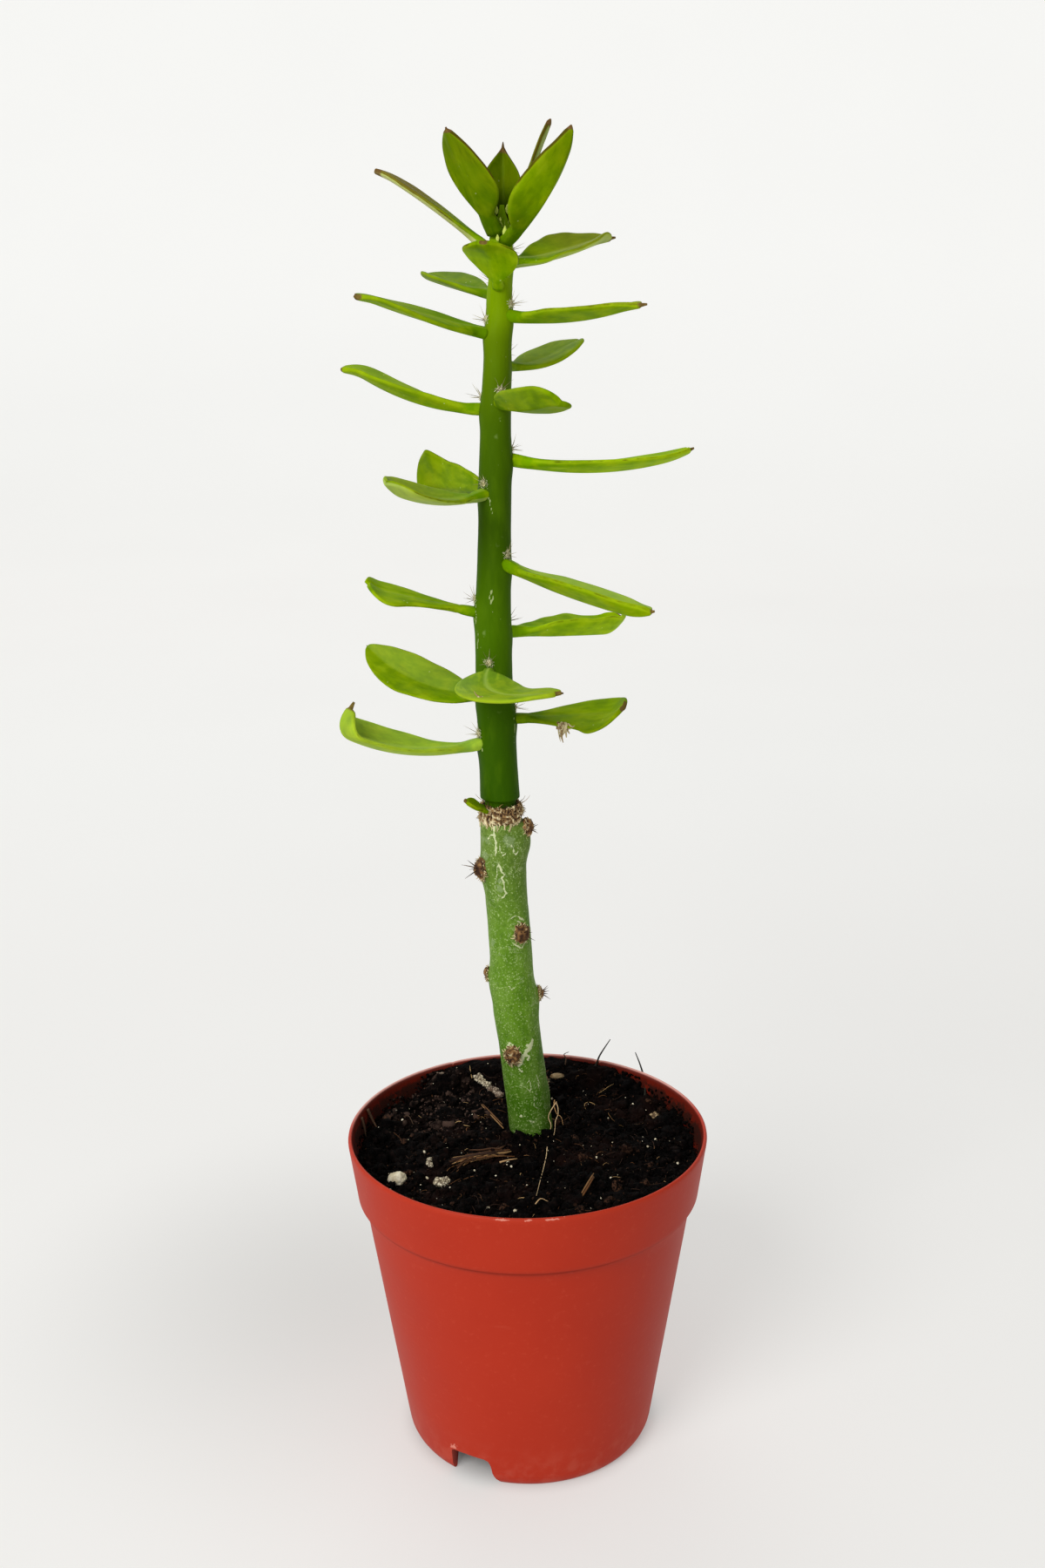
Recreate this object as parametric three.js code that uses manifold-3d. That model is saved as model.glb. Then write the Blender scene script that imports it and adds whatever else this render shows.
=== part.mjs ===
// Potted Pereskiopsis spathulata: a rooted cutting with one young leafy shoot in a small nursery pot.
// Millimetres, +Z up. The origin is the centre of the pot's foot, on the surface that the pot stands on.
import * as THREE from "three";
import { mergeVertices } from "three/addons/utils/BufferGeometryUtils.js";
import Module from "manifold-3d";

const wasm = await Module();
wasm.setup();

// Driving dimensions
const SEAT = 0.3; // air left between a piece and what it rests on or stands in

// Pot: a thin moulded cone with a wider collar and a foot ring
const POT_HEIGHT = 50;
const RIM_RADIUS = 27.5;
const COLLAR_LOW_RADIUS = 26.3;
const COLLAR_LOW_HEIGHT = 41.2;
const BODY_TOP_RADIUS = 25.2;
const BODY_TOP_HEIGHT = 39.6;
const FOOT_RADIUS = 19.2;
const FOOT_FILLET = 1.5;
const FOOT_RING_WIDTH = 0.9;
const WALL = 1.1;
const LIP_ROUNDING = 0.5;
const FLOOR_UNDERSIDE = 3.0;
const FLOOR_TOP = 4.1;
const POT_SIDES = 50;

// Drainage notches: cut through the foot and the edge of the floor
const NOTCH_COUNT = 3;
const FIRST_NOTCH_AZIMUTH = -118;
const NOTCH_WIDTH = 6.8;
const NOTCH_HEIGHT = 4.5;
const NOTCH_CORNER = 1.4;
const NOTCH_INNER_RADIUS = 12.5;
const NOTCH_REACH = 9;

// Soil: a mound behind the stem, lower to the left and right and along the wall
const SOIL_LEVEL = 46.9;
const SOIL_MOUND = { x: 1.5, y: 26, height: 2.3, across: 10, deep: 12 };
const SOIL_TILT = 0.02; // rise towards the right for each millimetre
const SOIL_SIDE_FALL = 2.1;
const SOIL_EDGE_FALL = 0.5;
const SOIL_RINGS = 7;
const SOIL_SIDES = 36;
const SOIL_CRUMB = 0.45; // height of the random lumps

// Stem: height, offset of its middle from the pot's middle to the right and to the back, and radius
const STEM_STATIONS = [
  { z: 28, x: 2.0, y: 6.8, r: 3.0 },
  { z: 37, x: 1.4, y: 6.4, r: 3.3 },
  { z: 46, x: 0.7, y: 6.0, r: 3.45 },
  { z: 53, x: 0.0, y: 5.7, r: 3.4 },
  { z: 60, x: -0.8, y: 5.4, r: 3.3 },
  { z: 68, x: -1.7, y: 5.0, r: 3.4 },
  { z: 76, x: -2.2, y: 4.6, r: 3.25 },
  { z: 86, x: -2.8, y: 4.2, r: 3.2 },
  { z: 96, x: -3.3, y: 3.7, r: 3.3 },
  { z: 100, x: -3.5, y: 3.6, r: 3.0 },
  { z: 107, x: -3.75, y: 3.5, r: 2.8 },
  { z: 117, x: -4.1, y: 3.5, r: 2.7 },
  { z: 127, x: -4.25, y: 3.5, r: 2.6 },
  { z: 137, x: -3.95, y: 3.5, r: 2.4 },
  { z: 147, x: -3.65, y: 3.5, r: 2.3 },
  { z: 157, x: -3.45, y: 3.5, r: 2.1 },
  { z: 166, x: -3.0, y: 3.5, r: 1.9 },
  { z: 174, x: -2.6, y: 3.5, r: 1.65 },
  { z: 181, x: -2.3, y: 3.5, r: 1.25 },
  { z: 186, x: -2.2, y: 3.5, r: 0.7 },
];
const OLD_STEM_SIDES = 16;
const SHOOT_SIDES = 14;
const OLD_STEM_ROWS = 25;
const SHOOT_ROWS = 34;

// Joint between the old stem and the shoot: both neck in under a ring of dry bark
const OLD_STEM_FOOT = 29;
const OLD_STEM_TOP = 99.6;
const SHOOT_FOOT = OLD_STEM_TOP + SEAT;
const SHOOT_TOP = 184.6;
const NECK_RADIUS = 2.3;
const NECK_LENGTH = 1.7;
const NECK_FLARE = 0.5;
const BARK_RING_LOW = 98.2;
const BARK_RING_HIGH = 101.1;
const BARK_RING_THICKNESS = 0.62;
const BARK_RING_RAGGED = 0.2;
const BARK_RING_ARCH = 1.5; // the ring arches over the highest areole
const BARK_RING_SIDES = 20;

// Areoles on the old stem, the bare scars of fallen leaves: height, azimuth and radius of the cushion
const OLD_AREOLES = [
  { z: 97.4, azimuth: -8, size: 1.2 },
  { z: 91.2, azimuth: 190, size: 1.3 },
  { z: 86.0, azimuth: 80, size: 1.2 },
  { z: 81.4, azimuth: -57, size: 1.4 },
  { z: 73.4, azimuth: 168, size: 1.2 },
  { z: 70.2, azimuth: 4, size: 1.25 },
  { z: 65.5, azimuth: 95, size: 1.2 },
  { z: 61.2, azimuth: -112, size: 1.45 },
  { z: 53.5, azimuth: 50, size: 1.2 },
];
const OLD_SPINES = { count: 6, length: 2.1, radius: 0.16, fan: 2 * Math.PI };

// Areoles in the leaf axils of the shoot
const AXIL_SIZE = 0.6;
const AXIL_HEIGHT_ABOVE_LEAF = 1.6;
const AXIL_SPINES = { count: 3, length: 1.7, radius: 0.13, fan: Math.PI };
const STEEPEST_OPEN_AXIL = 30; // a leaf that rises more than this still hugs the shoot
const CUSHION_SIDES = 7;
const CUSHION_ROWS = 4;

// Swelling of the shoot under each leaf
const SWELLING = 0.3;
const SWELLING_LENGTH = 1.8;

// Leaves: fleshy blades in a spiral, each one turned on from the one below it by the golden angle
const GOLDEN_ANGLE = 137.5;
const FIRST_LEAF_AZIMUTH = -142.5;
const LEAF_ROWS = 10;
const LEAF_TIP_CROWDING = 1.35; // rows stand closer together towards the tip
const LEAF_HALF_COLUMNS = 3;
const LEAF_EDGE_THICKNESS = 0.6;
const LEAF_MIDDLE_THICKNESS = 0.55; // and this much more for each millimetre of its length
const LEAF_THICKENING = 0.028;
const LEAF_BASE_HALF_WIDTH = 0.35; // and this much more for each millimetre of its length
const LEAF_BASE_WIDENING = 0.022;
const LEAF_TIP_HALF_WIDTH = 0.32;
const LEAF_POINT_HALF_WIDTH = 0.13;
const TIP_THINNING = 0.35; // share of its flesh that a blade has lost at its tip
const FLAT_BASE_FOLD = 0.35; // share of the fold at the base, which grows to all of it
const FOLD_GROWTH = 2;
const CURL_START = 0.82; // share of the blade's length where its curled tip starts

// Each leaf from the lowest up: height of its base; lean, its turn away from the spiral; rise, the
// angle of its base above level; bend and sweep, the turn up and the turn sideways from base to tip;
// roll and twist of the blade about its midrib; length and width; fold, the angle of each half;
// widest, the share of its length where it is widest; taper, small for a round end; curl of its end;
// point, the length of the dry point beyond that.
const LEAVES = [
  { z: 110.4, lean: -10, rise: -5, bend: 40, sweep: 15, roll: 4, twist: 24, length: 25.2, width: 7.7,
    fold: 27, widest: 0.67, taper: 0.53, curl: 95, point: 1.7 },
  { z: 113.9, lean: 7, rise: 0, bend: 12, sweep: -38, roll: -12, twist: -10, length: 15.7, width: 8.0,
    fold: 4, widest: 0.74, taper: 0.34, curl: 25, point: 0.8 },
  { z: 116.8, lean: 11, rise: -3, bend: 26, sweep: -14, roll: 36, twist: 17, length: 23.5, width: 7.0,
    fold: 25, widest: 0.5, taper: 0.68, curl: 0, point: 1.2 },
  { z: 121.1, lean: -13, rise: -13, bend: 31, sweep: 87, roll: -2, twist: 0, length: 19.8, width: 9.2,
    fold: 4, widest: 0.42, taper: 0.56, curl: -10, point: 0.6 },
  { z: 126.4, lean: -10, rise: -7, bend: 0, sweep: 11, roll: 1, twist: 3, length: 22.6, width: 6.6,
    fold: 38, widest: 0.64, taper: 0.4, curl: 35, point: 1.2 },
  { z: 129.9, lean: 6, rise: 13, bend: 4, sweep: 1, roll: 9, twist: 4, length: 14.7, width: 6.6,
    fold: 3, widest: 0.78, taper: 0.34, curl: 20, point: 0.3 },
  { z: 136.4, lean: -6, rise: -15, bend: 7, sweep: 10, roll: 17, twist: 3, length: 24.0, width: 6.6,
    fold: 26, widest: 0.55, taper: 0.6, curl: 18, point: 1.0 },
  { z: 146.7, lean: 14, rise: -2, bend: 0, sweep: 8, roll: -58, twist: -4, length: 21.2, width: 9.4,
    fold: 16, widest: 0.62, taper: 0.48, curl: -15, point: 0.8 },
  { z: 146.4, lean: -7, rise: -6, bend: 27, sweep: 2, roll: 6, twist: -4, length: 19.0, width: 7.2,
    fold: 21, widest: 0.72, taper: 0.53, curl: 15, point: 1.0 },
  { z: 150.9, lean: 1, rise: -13, bend: 26, sweep: 8, roll: 8, twist: -4, length: 26.3, width: 7.3,
    fold: 15, widest: 0.55, taper: 0.6, curl: 5, point: 1.7 },
  { z: 158.0, lean: 8, rise: 1, bend: 33, sweep: 7, roll: -22, twist: 31, length: 20.2, width: 6.0,
    fold: 22, widest: 0.58, taper: 0.72, curl: -25, point: 0.9 },
  { z: 159.0, lean: -5, rise: -4, bend: 15, sweep: 13, roll: 27, twist: 4, length: 20.0, width: 6.4,
    fold: 16, widest: 0.56, taper: 0.4, curl: -25, point: 1.0 },
  { z: 163.8, lean: -8, rise: -7, bend: 36, sweep: -17, roll: -25, twist: 29, length: 16.6, width: 6.9,
    fold: 12, widest: 0.68, taper: 0.57, curl: 0, point: 0.5 },
  { z: 168.4, lean: -5, rise: 13, bend: 6, sweep: 12, roll: 27, twist: -23, length: 18.2, width: 6.6,
    fold: 6, widest: 0.61, taper: 0.52, curl: -12, point: 0.8 },
  { z: 170.4, lean: -16, rise: -6, bend: 21, sweep: -9, roll: 18, twist: -21, length: 20.2, width: 6.6,
    fold: 13, widest: 0.54, taper: 0.72, curl: -10, point: 1.7 },
  { z: 173.4, lean: 7, rise: 8, bend: 3, sweep: -2, roll: 12, twist: -13, length: 15.4, width: 6.0,
    fold: 23, widest: 0.6, taper: 0.55, curl: 0, point: 1.2 },
  { z: 174.9, lean: 4, rise: 40, bend: -27, sweep: -4, roll: 13, twist: -11, length: 10.0, width: 7.2,
    fold: 6, widest: 0.58, taper: 0.64, curl: 15, point: 0.4 },
  { z: 177.5, lean: -1, rise: 5, bend: 15, sweep: 6, roll: -29, twist: 28, length: 16.3, width: 7.9,
    fold: 24, widest: 0.56, taper: 0.8, curl: -12, point: 2.2 },
  { z: 179.7, lean: 0, rise: 40, bend: -10, sweep: -2, roll: 2, twist: -3, length: 17.4, width: 5.8,
    fold: 4, widest: 0.66, taper: 0.6, curl: -10, point: 0.5 },
  { z: 180.8, lean: 2, rise: 30, bend: 29, sweep: -6, roll: -3, twist: -8, length: 17.3, width: 7.6,
    fold: 34, widest: 0.5, taper: 0.82, curl: 15, point: 0.9 },
  { z: 183.7, lean: -3, rise: 74, bend: 28, sweep: 5, roll: -5, twist: 18, length: 9.0, width: 5.4,
    fold: 38, widest: 0.48, taper: 1.0, curl: 10, point: 0.5 },
  { z: 182.2, lean: 4, rise: 54, bend: 3, sweep: -8, roll: -7, twist: 18, length: 13.6, width: 7.4,
    fold: 5, widest: 0.61, taper: 0.82, curl: 5, point: 0.7 },
  { z: 183.0, lean: 25, rise: 74, bend: -11, sweep: -8, roll: 19, twist: 1, length: 13.6, width: 5.4,
    fold: 3, widest: 0.61, taper: 0.9, curl: 0, point: 0.4 },
  { z: 182.4, lean: 6, rise: 60, bend: 6, sweep: 4, roll: -10, twist: 0, length: 12.4, width: 5.2,
    fold: 15, widest: 0.6, taper: 0.8, curl: 0, point: 0.8 },
];
const BASAL_LEAF = { z: 102.0, azimuth: 221, rise: 14, bend: 10, sweep: -22, roll: 0, twist: 0,
  length: 2.3, width: 2.0, fold: 12, widest: 0.5, taper: 0.7, curl: 0, point: 0.6 };

// Grains of perlite that lie half sunk in the soil: place and radius
const GRAINS = [
  { x: -19.6, y: -8.4, r: 1.6 },
  { x: -12.8, y: -9.6, r: 1.4 },
  { x: -15.0, y: -3.8, r: 0.9 },
  { x: -7.4, y: 20.4, r: 1.25 },
  { x: -4.6, y: 16.6, r: 0.95 },
  { x: 20.6, y: 11.5, r: 1.1 },
  { x: 4.6, y: 22.4, r: 0.9 },
  { x: -13.2, y: 19.4, r: 0.8 },
];

// Slivers of bark that lie on the soil: middle, length, thickness and heading
const SLIVERS = [
  { x: -6.4, y: 9.6, length: 7.6, thickness: 0.8, heading: -66 },
  { x: -7.3, y: -3.9, length: 9.4, thickness: 1.0, heading: 24 },
  { x: 8.8, y: -14.0, length: 4.6, thickness: 0.9, heading: 66 },
];

// Colours
const material = (color, roughness) => new THREE.MeshStandardMaterial({ color, roughness, metalness: 0 });
const POT_PLASTIC = material(0xb03a28, 0.45);
const PEAT = material(0x1d1511, 0.95);
const OLD_BARK_GREEN = material(0x5e8c4a, 0.6);
const SHOOT_GREEN = material(0x4f8212, 0.4);
const LEAF_GREEN = material(0x6a9a1c, 0.4);
const DRY_BARK = material(0xb89a70, 0.9);
const PERLITE = material(0xe0d8c0, 0.9);
const BARK_BROWN = material(0x6b4426, 0.9);

// Helpers
const WELD_DISTANCE = 1e-4;
const radians = (degrees) => (degrees * Math.PI) / 180;

// The same row of numbers from 0 to 1 each time, for the random lumps
function seededRandom(seed) {
  let state = seed;
  return () => {
    state = (state * 16807) % 2147483647;
    return state / 2147483647;
  };
}

// Only the places of the corners, each one kept once
function welded(geometry) {
  const bare = geometry.clone();
  bare.deleteAttribute("normal");
  bare.deleteAttribute("uv");
  return mergeVertices(bare, WELD_DISTANCE);
}

function toSolid(geometry) {
  const merged = welded(geometry);
  const corners = merged.index.array;
  const faces = [];
  for (let i = 0; i < corners.length; i += 3) {
    const [a, b, c] = [corners[i], corners[i + 1], corners[i + 2]];
    if (a !== b && b !== c && c !== a) {
      faces.push(a, b, c);
    }
  }
  return new wasm.Manifold(new wasm.Mesh({
    numProp: 3,
    vertProperties: new Float32Array(merged.attributes.position.array),
    triVerts: new Uint32Array(faces),
  }));
}

function toGeometry(solid) {
  const mesh = solid.getMesh();
  const geometry = new THREE.BufferGeometry();
  geometry.setAttribute("position", new THREE.BufferAttribute(mesh.vertProperties, 3));
  geometry.setIndex(new THREE.BufferAttribute(mesh.triVerts, 1));
  geometry.computeVertexNormals();
  return geometry;
}

function namedMesh(name, solid, finish) {
  const mesh = new THREE.Mesh(toGeometry(solid), finish);
  mesh.name = name;
  return mesh;
}

// A closed skin over rows of points, each row one loop round the piece, with a fan over each end.
// Loops run anticlockwise seen from the last row. Columns from mirrorFrom on are split the other way,
// so that a blade's two faces are split alike.
function skinOver(rows, mirrorFrom = Infinity) {
  const count = rows[0].length;
  const points = rows.flat();
  const faces = [];
  for (let i = 0; i < rows.length - 1; i += 1) {
    for (let j = 0; j < count; j += 1) {
      const a = i * count + j;
      const b = i * count + ((j + 1) % count);
      const c = b + count;
      const d = a + count;
      faces.push(...(j < mirrorFrom ? [a, b, c, a, c, d] : [a, b, d, b, c, d]));
    }
  }
  for (const end of [0, rows.length - 1]) {
    const middle = points.length;
    const centre = new THREE.Vector3();
    rows[end].forEach((point) => centre.add(point));
    points.push(centre.divideScalar(count));
    for (let j = 0; j < count; j += 1) {
      const a = end * count + j;
      const b = end * count + ((j + 1) % count);
      faces.push(...(end === 0 ? [b, a, middle] : [a, b, middle]));
    }
  }
  const geometry = new THREE.BufferGeometry().setFromPoints(points);
  geometry.setIndex(faces);
  return geometry;
}

// The stem's middle and radius at a height, on smooth curves through its stations
function stemAt(height) {
  const last = STEM_STATIONS.length - 2;
  let i = 0;
  while (i < last && STEM_STATIONS[i + 1].z < height) {
    i += 1;
  }
  const near = [i - 1, i, i + 1, i + 2].map((k) => STEM_STATIONS[THREE.MathUtils.clamp(k, 0, last + 1)]);
  const t = (height - near[1].z) / (near[2].z - near[1].z);
  const smooth = (key) => {
    const [a, b, c, d] = near.map((station) => station[key]);
    const slopeIn = (c - a) / 2;
    const slopeOut = (d - b) / 2;
    const rise = c - b;
    return b + t * (slopeIn + t * (3 * rise - 2 * slopeIn - slopeOut + t * (slopeIn + slopeOut - 2 * rise)));
  };
  return { x: smooth("x"), y: smooth("y"), r: smooth("r") };
}

// How much narrower the stem is near a necked end
function neckedRadius(radius, distanceFromEnd) {
  const share = THREE.MathUtils.smoothstep(distanceFromEnd, NECK_LENGTH, NECK_LENGTH + NECK_FLARE);
  return NECK_RADIUS + (radius - NECK_RADIUS) * share;
}

function leafAzimuth(index) {
  return FIRST_LEAF_AZIMUTH + GOLDEN_ANGLE * index + LEAVES[index].lean;
}

function shootRadius(height, angle) {
  let radius = stemAt(height).r;
  LEAVES.forEach((leaf, index) => {
    const away = (height - leaf.z + AXIL_SIZE) / SWELLING_LENGTH;
    const facing = Math.max(0, Math.cos(angle - radians(leafAzimuth(index))));
    radius += SWELLING * Math.exp(-away * away) * facing * facing;
  });
  return radius;
}

function stemPoint(height, angle, radius) {
  const middle = stemAt(height);
  return new THREE.Vector3(middle.x + radius * Math.cos(angle), middle.y + radius * Math.sin(angle), height);
}

function evenHeights(low, high, count) {
  return Array.from({ length: count + 1 }, (_, i) => low + ((high - low) * i) / count);
}

function stemSkin(heights, sides, radiusAt) {
  const rows = [];
  for (const height of heights) {
    const row = [];
    for (let j = 0; j < sides; j += 1) {
      const angle = (2 * Math.PI * j) / sides;
      row.push(stemPoint(height, angle, radiusAt(height, angle)));
    }
    rows.push(row);
  }
  return skinOver(rows);
}

// A cushion sunk in the stem's skin, with spines that fan out of it, over a full or a half turn
function areole(root, azimuth, size, spines, random) {
  const outward = new THREE.Vector3(Math.cos(azimuth), Math.sin(azimuth), 0);
  const sideways = new THREE.Vector3(-Math.sin(azimuth), Math.cos(azimuth), 0);
  const cushion = new THREE.SphereGeometry(size, CUSHION_SIDES, CUSHION_ROWS);
  cushion.scale(1, 0.62, 1);
  cushion.rotateZ(azimuth - Math.PI / 2);
  cushion.translate(root.x, root.y, root.z);
  let solid = toSolid(cushion);
  for (let k = 0; k < spines.count; k += 1) {
    const turn = (spines.fan * (k + 0.2 + random() * 0.6)) / spines.count;
    const spread = 0.55 + 0.55 * random();
    const length = spines.length * (0.75 + 0.4 * random());
    const direction = outward.clone();
    direction.addScaledVector(sideways, spread * Math.cos(turn));
    direction.z += spread * Math.sin(turn);
    direction.normalize();
    const spine = new THREE.ConeGeometry(spines.radius, length, 3);
    spine.translate(0, length / 2, 0);
    spine.applyQuaternion(new THREE.Quaternion().setFromUnitVectors(THREE.Object3D.DEFAULT_UP, direction));
    const start = root.clone().addScaledVector(direction, size * 0.3);
    spine.translate(start.x, start.y, start.z);
    solid = solid.add(toSolid(spine));
  }
  return solid;
}

function makeOldStem() {
  const radiusAt = (height) => neckedRadius(stemAt(height).r, OLD_STEM_TOP - height);
  const neck = OLD_STEM_TOP - NECK_LENGTH;
  const heights = [...evenHeights(OLD_STEM_FOOT, neck - NECK_FLARE, OLD_STEM_ROWS), neck, OLD_STEM_TOP];
  const skin = stemSkin(heights, OLD_STEM_SIDES, radiusAt);
  const random = seededRandom(41);
  let solid = toSolid(skin);
  for (const scar of OLD_AREOLES) {
    const azimuth = radians(scar.azimuth);
    const root = stemPoint(scar.z, azimuth, stemAt(scar.z).r);
    solid = solid.add(areole(root, azimuth, scar.size, OLD_SPINES, random));
  }
  return solid;
}

function makeShoot() {
  const radiusAt = (height, angle) => neckedRadius(shootRadius(height, angle), height - SHOOT_FOOT);
  const neck = SHOOT_FOOT + NECK_LENGTH;
  const heights = [SHOOT_FOOT, neck, ...evenHeights(neck + NECK_FLARE, SHOOT_TOP, SHOOT_ROWS)];
  const skin = stemSkin(heights, SHOOT_SIDES, radiusAt);
  const random = seededRandom(97);
  let solid = toSolid(skin);
  LEAVES.forEach((leaf, index) => {
    const azimuth = radians(leafAzimuth(index));
    const height = leaf.z + AXIL_HEIGHT_ABOVE_LEAF;
    if (leaf.rise < STEEPEST_OPEN_AXIL) {
      const root = stemPoint(height, azimuth, shootRadius(height, azimuth) - AXIL_SIZE * 0.2);
      solid = solid.add(areole(root, azimuth, AXIL_SIZE, AXIL_SPINES, random));
    }
  });
  return solid;
}

function makeBarkRing() {
  const random = seededRandom(13);
  const inner = NECK_RADIUS + SEAT;
  const rows = [];
  for (let j = 0; j <= BARK_RING_SIDES; j += 1) {
    const angle = (2 * Math.PI * j) / BARK_RING_SIDES;
    const ragged = () => (j === BARK_RING_SIDES ? 0 : (random() - 0.5) * 2 * BARK_RING_RAGGED);
    const at = (radius, height) => stemPoint(height, angle, radius);
    const away = angle > Math.PI ? angle - 2 * Math.PI : angle;
    const low = BARK_RING_LOW + ragged() + BARK_RING_ARCH * Math.exp(-4 * away * away);
    const high = BARK_RING_HIGH + ragged();
    const outer = inner + BARK_RING_THICKNESS + ragged();
    const waist = (low + high) / 2;
    rows.push(j === BARK_RING_SIDES ? rows[0] : [
      at(inner, low + 0.3),
      at(inner, high - 0.3),
      at(inner + 0.35, high),
      at(outer, waist + 0.8),
      at(outer, waist - 0.8),
      at(inner + 0.35, low),
    ]);
  }
  return toSolid(ringOver(rows));
}

// A closed skin over loops that follow one another round a ring, the last loop being the first one
function ringOver(rows) {
  const count = rows[0].length;
  const loops = rows.length - 1;
  const faces = [];
  for (let i = 0; i < loops; i += 1) {
    const next = (i + 1) % loops;
    for (let j = 0; j < count; j += 1) {
      const a = i * count + j;
      const b = i * count + ((j + 1) % count);
      const c = next * count + ((j + 1) % count);
      const d = next * count + j;
      faces.push(a, b, c, a, c, d);
    }
  }
  const geometry = new THREE.BufferGeometry().setFromPoints(rows.slice(0, loops).flat());
  geometry.setIndex(faces);
  return geometry;
}

// Half the width of a blade at a share of its length, as a share of its greatest half width
function bladeOutline(share, widest, taper) {
  const swell = (taper * widest) / (1 - widest);
  const at = (s) => s ** swell * (1 - s) ** taper;
  return at(share) / at(widest);
}

function leafThickness(leaf) {
  return LEAF_MIDDLE_THICKNESS + LEAF_THICKENING * leaf.length;
}

// The way a blade's midrib runs at a share of its length
function midribDirection(leaf, azimuth, share) {
  const curled = leaf.curl * THREE.MathUtils.smoothstep(share, CURL_START, 1);
  const up = radians(leaf.rise + leaf.bend * share + curled);
  const heading = radians(azimuth + leaf.sweep * share);
  return new THREE.Vector3(Math.cos(up) * Math.cos(heading), Math.cos(up) * Math.sin(heading), Math.sin(up));
}

// The blade's own axes at a share of its length: to its side and out of its upper face
function bladeAxes(leaf, azimuth, share) {
  const heading = radians(azimuth + leaf.sweep * share);
  const level = new THREE.Vector3(Math.sin(heading), -Math.cos(heading), 0);
  const upward = level.clone().cross(midribDirection(leaf, azimuth, share));
  const roll = radians(leaf.roll + leaf.twist * share);
  const side = level.clone().multiplyScalar(Math.cos(roll)).addScaledVector(upward, Math.sin(roll));
  const face = upward.clone().multiplyScalar(Math.cos(roll)).addScaledVector(level, -Math.sin(roll));
  return { side, face };
}

function makeLeaf(leaf, azimuth) {
  const tilt = Math.abs(Math.sin(radians(leaf.rise)));
  const roomToTilt = SEAT + SEAT / 3 + (leafThickness(leaf) / 2) * tilt;
  const skin = shootRadius(leaf.z, radians(azimuth));
  const place = stemPoint(leaf.z, radians(azimuth), skin + roomToTilt);
  const rows = [];
  let reached = 0;
  for (let i = 0; i <= LEAF_ROWS; i += 1) {
    const share = 1 - (1 - i / LEAF_ROWS) ** LEAF_TIP_CROWDING;
    const direction = midribDirection(leaf, azimuth, (share + reached) / 2);
    place.addScaledVector(direction, leaf.length * (share - reached));
    reached = share;
    rows.push(bladeSection(leaf, share, place, bladeAxes(leaf, azimuth, share), LEAF_TIP_HALF_WIDTH));
  }
  place.addScaledVector(midribDirection(leaf, azimuth, 1), leaf.point);
  rows.push(bladeSection(leaf, 1, place, bladeAxes(leaf, azimuth, 1), LEAF_POINT_HALF_WIDTH));
  return toSolid(skinOver(rows, 2 * LEAF_HALF_COLUMNS + 1));
}

// One loop round the blade: across its upper face and back across its lower face
function bladeSection(leaf, share, place, axes, leastHalfWidth) {
  const blade = (leaf.width / 2) * bladeOutline(share, leaf.widest, leaf.taper);
  const stalk = (LEAF_BASE_HALF_WIDTH + LEAF_BASE_WIDENING * leaf.length) * (1 - share) ** 3;
  const halfWidth = Math.max(blade, stalk, leastHalfWidth);
  const fold = radians(leaf.fold) * Math.min(1, FLAT_BASE_FOLD + FOLD_GROWTH * share);
  const extra = leafThickness(leaf) * (1 - TIP_THINNING * share) - LEAF_EDGE_THICKNESS;
  const upper = [];
  const lower = [];
  for (let j = -LEAF_HALF_COLUMNS; j <= LEAF_HALF_COLUMNS; j += 1) {
    const across = j / LEAF_HALF_COLUMNS;
    const flesh = Math.max(0, extra) * (1 - across * across);
    const thickness = (LEAF_EDGE_THICKNESS + flesh) / Math.cos(fold);
    const centre = place.clone();
    centre.addScaledVector(axes.side, across * halfWidth * Math.cos(fold));
    centre.addScaledVector(axes.face, Math.abs(across) * halfWidth * Math.sin(fold));
    upper.push(centre.clone().addScaledVector(axes.face, thickness / 2));
    lower.push(centre.clone().addScaledVector(axes.face, -thickness / 2));
  }
  return [...upper, ...lower.reverse()];
}

function potProfile() {
  const points = [];
  const to = (x, y) => points.push(new THREE.Vector2(x, y));
  const footInner = FOOT_RADIUS - FOOT_FILLET - FOOT_RING_WIDTH;
  to(0, FLOOR_UNDERSIDE);
  to(footInner - 0.5, FLOOR_UNDERSIDE);
  to(footInner, 0);
  for (const turn of [0, 30, 60]) {
    const angle = radians(turn);
    to(FOOT_RADIUS - FOOT_FILLET * (1 - Math.sin(angle)), FOOT_FILLET * (1 - Math.cos(angle)));
  }
  to(FOOT_RADIUS + 0.15, FOOT_FILLET);
  to(BODY_TOP_RADIUS, BODY_TOP_HEIGHT);
  to((BODY_TOP_RADIUS + COLLAR_LOW_RADIUS) / 2 + 0.1, (BODY_TOP_HEIGHT + COLLAR_LOW_HEIGHT) / 2 - 0.2);
  to(COLLAR_LOW_RADIUS, COLLAR_LOW_HEIGHT);
  to(RIM_RADIUS, POT_HEIGHT - LIP_ROUNDING);
  to(RIM_RADIUS - 0.15, POT_HEIGHT - 0.15);
  to(RIM_RADIUS - LIP_ROUNDING, POT_HEIGHT);
  to(RIM_RADIUS - WALL, POT_HEIGHT);
  to(RIM_RADIUS - WALL - 0.15, POT_HEIGHT - 0.2);
  to(COLLAR_LOW_RADIUS - WALL, COLLAR_LOW_HEIGHT);
  to(BODY_TOP_RADIUS - WALL, BODY_TOP_HEIGHT);
  to(FOOT_RADIUS - WALL + 0.2, FLOOR_TOP + 0.6);
  to(FOOT_RADIUS - WALL - 0.4, FLOOR_TOP);
  to(0, FLOOR_TOP);
  return points;
}

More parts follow.
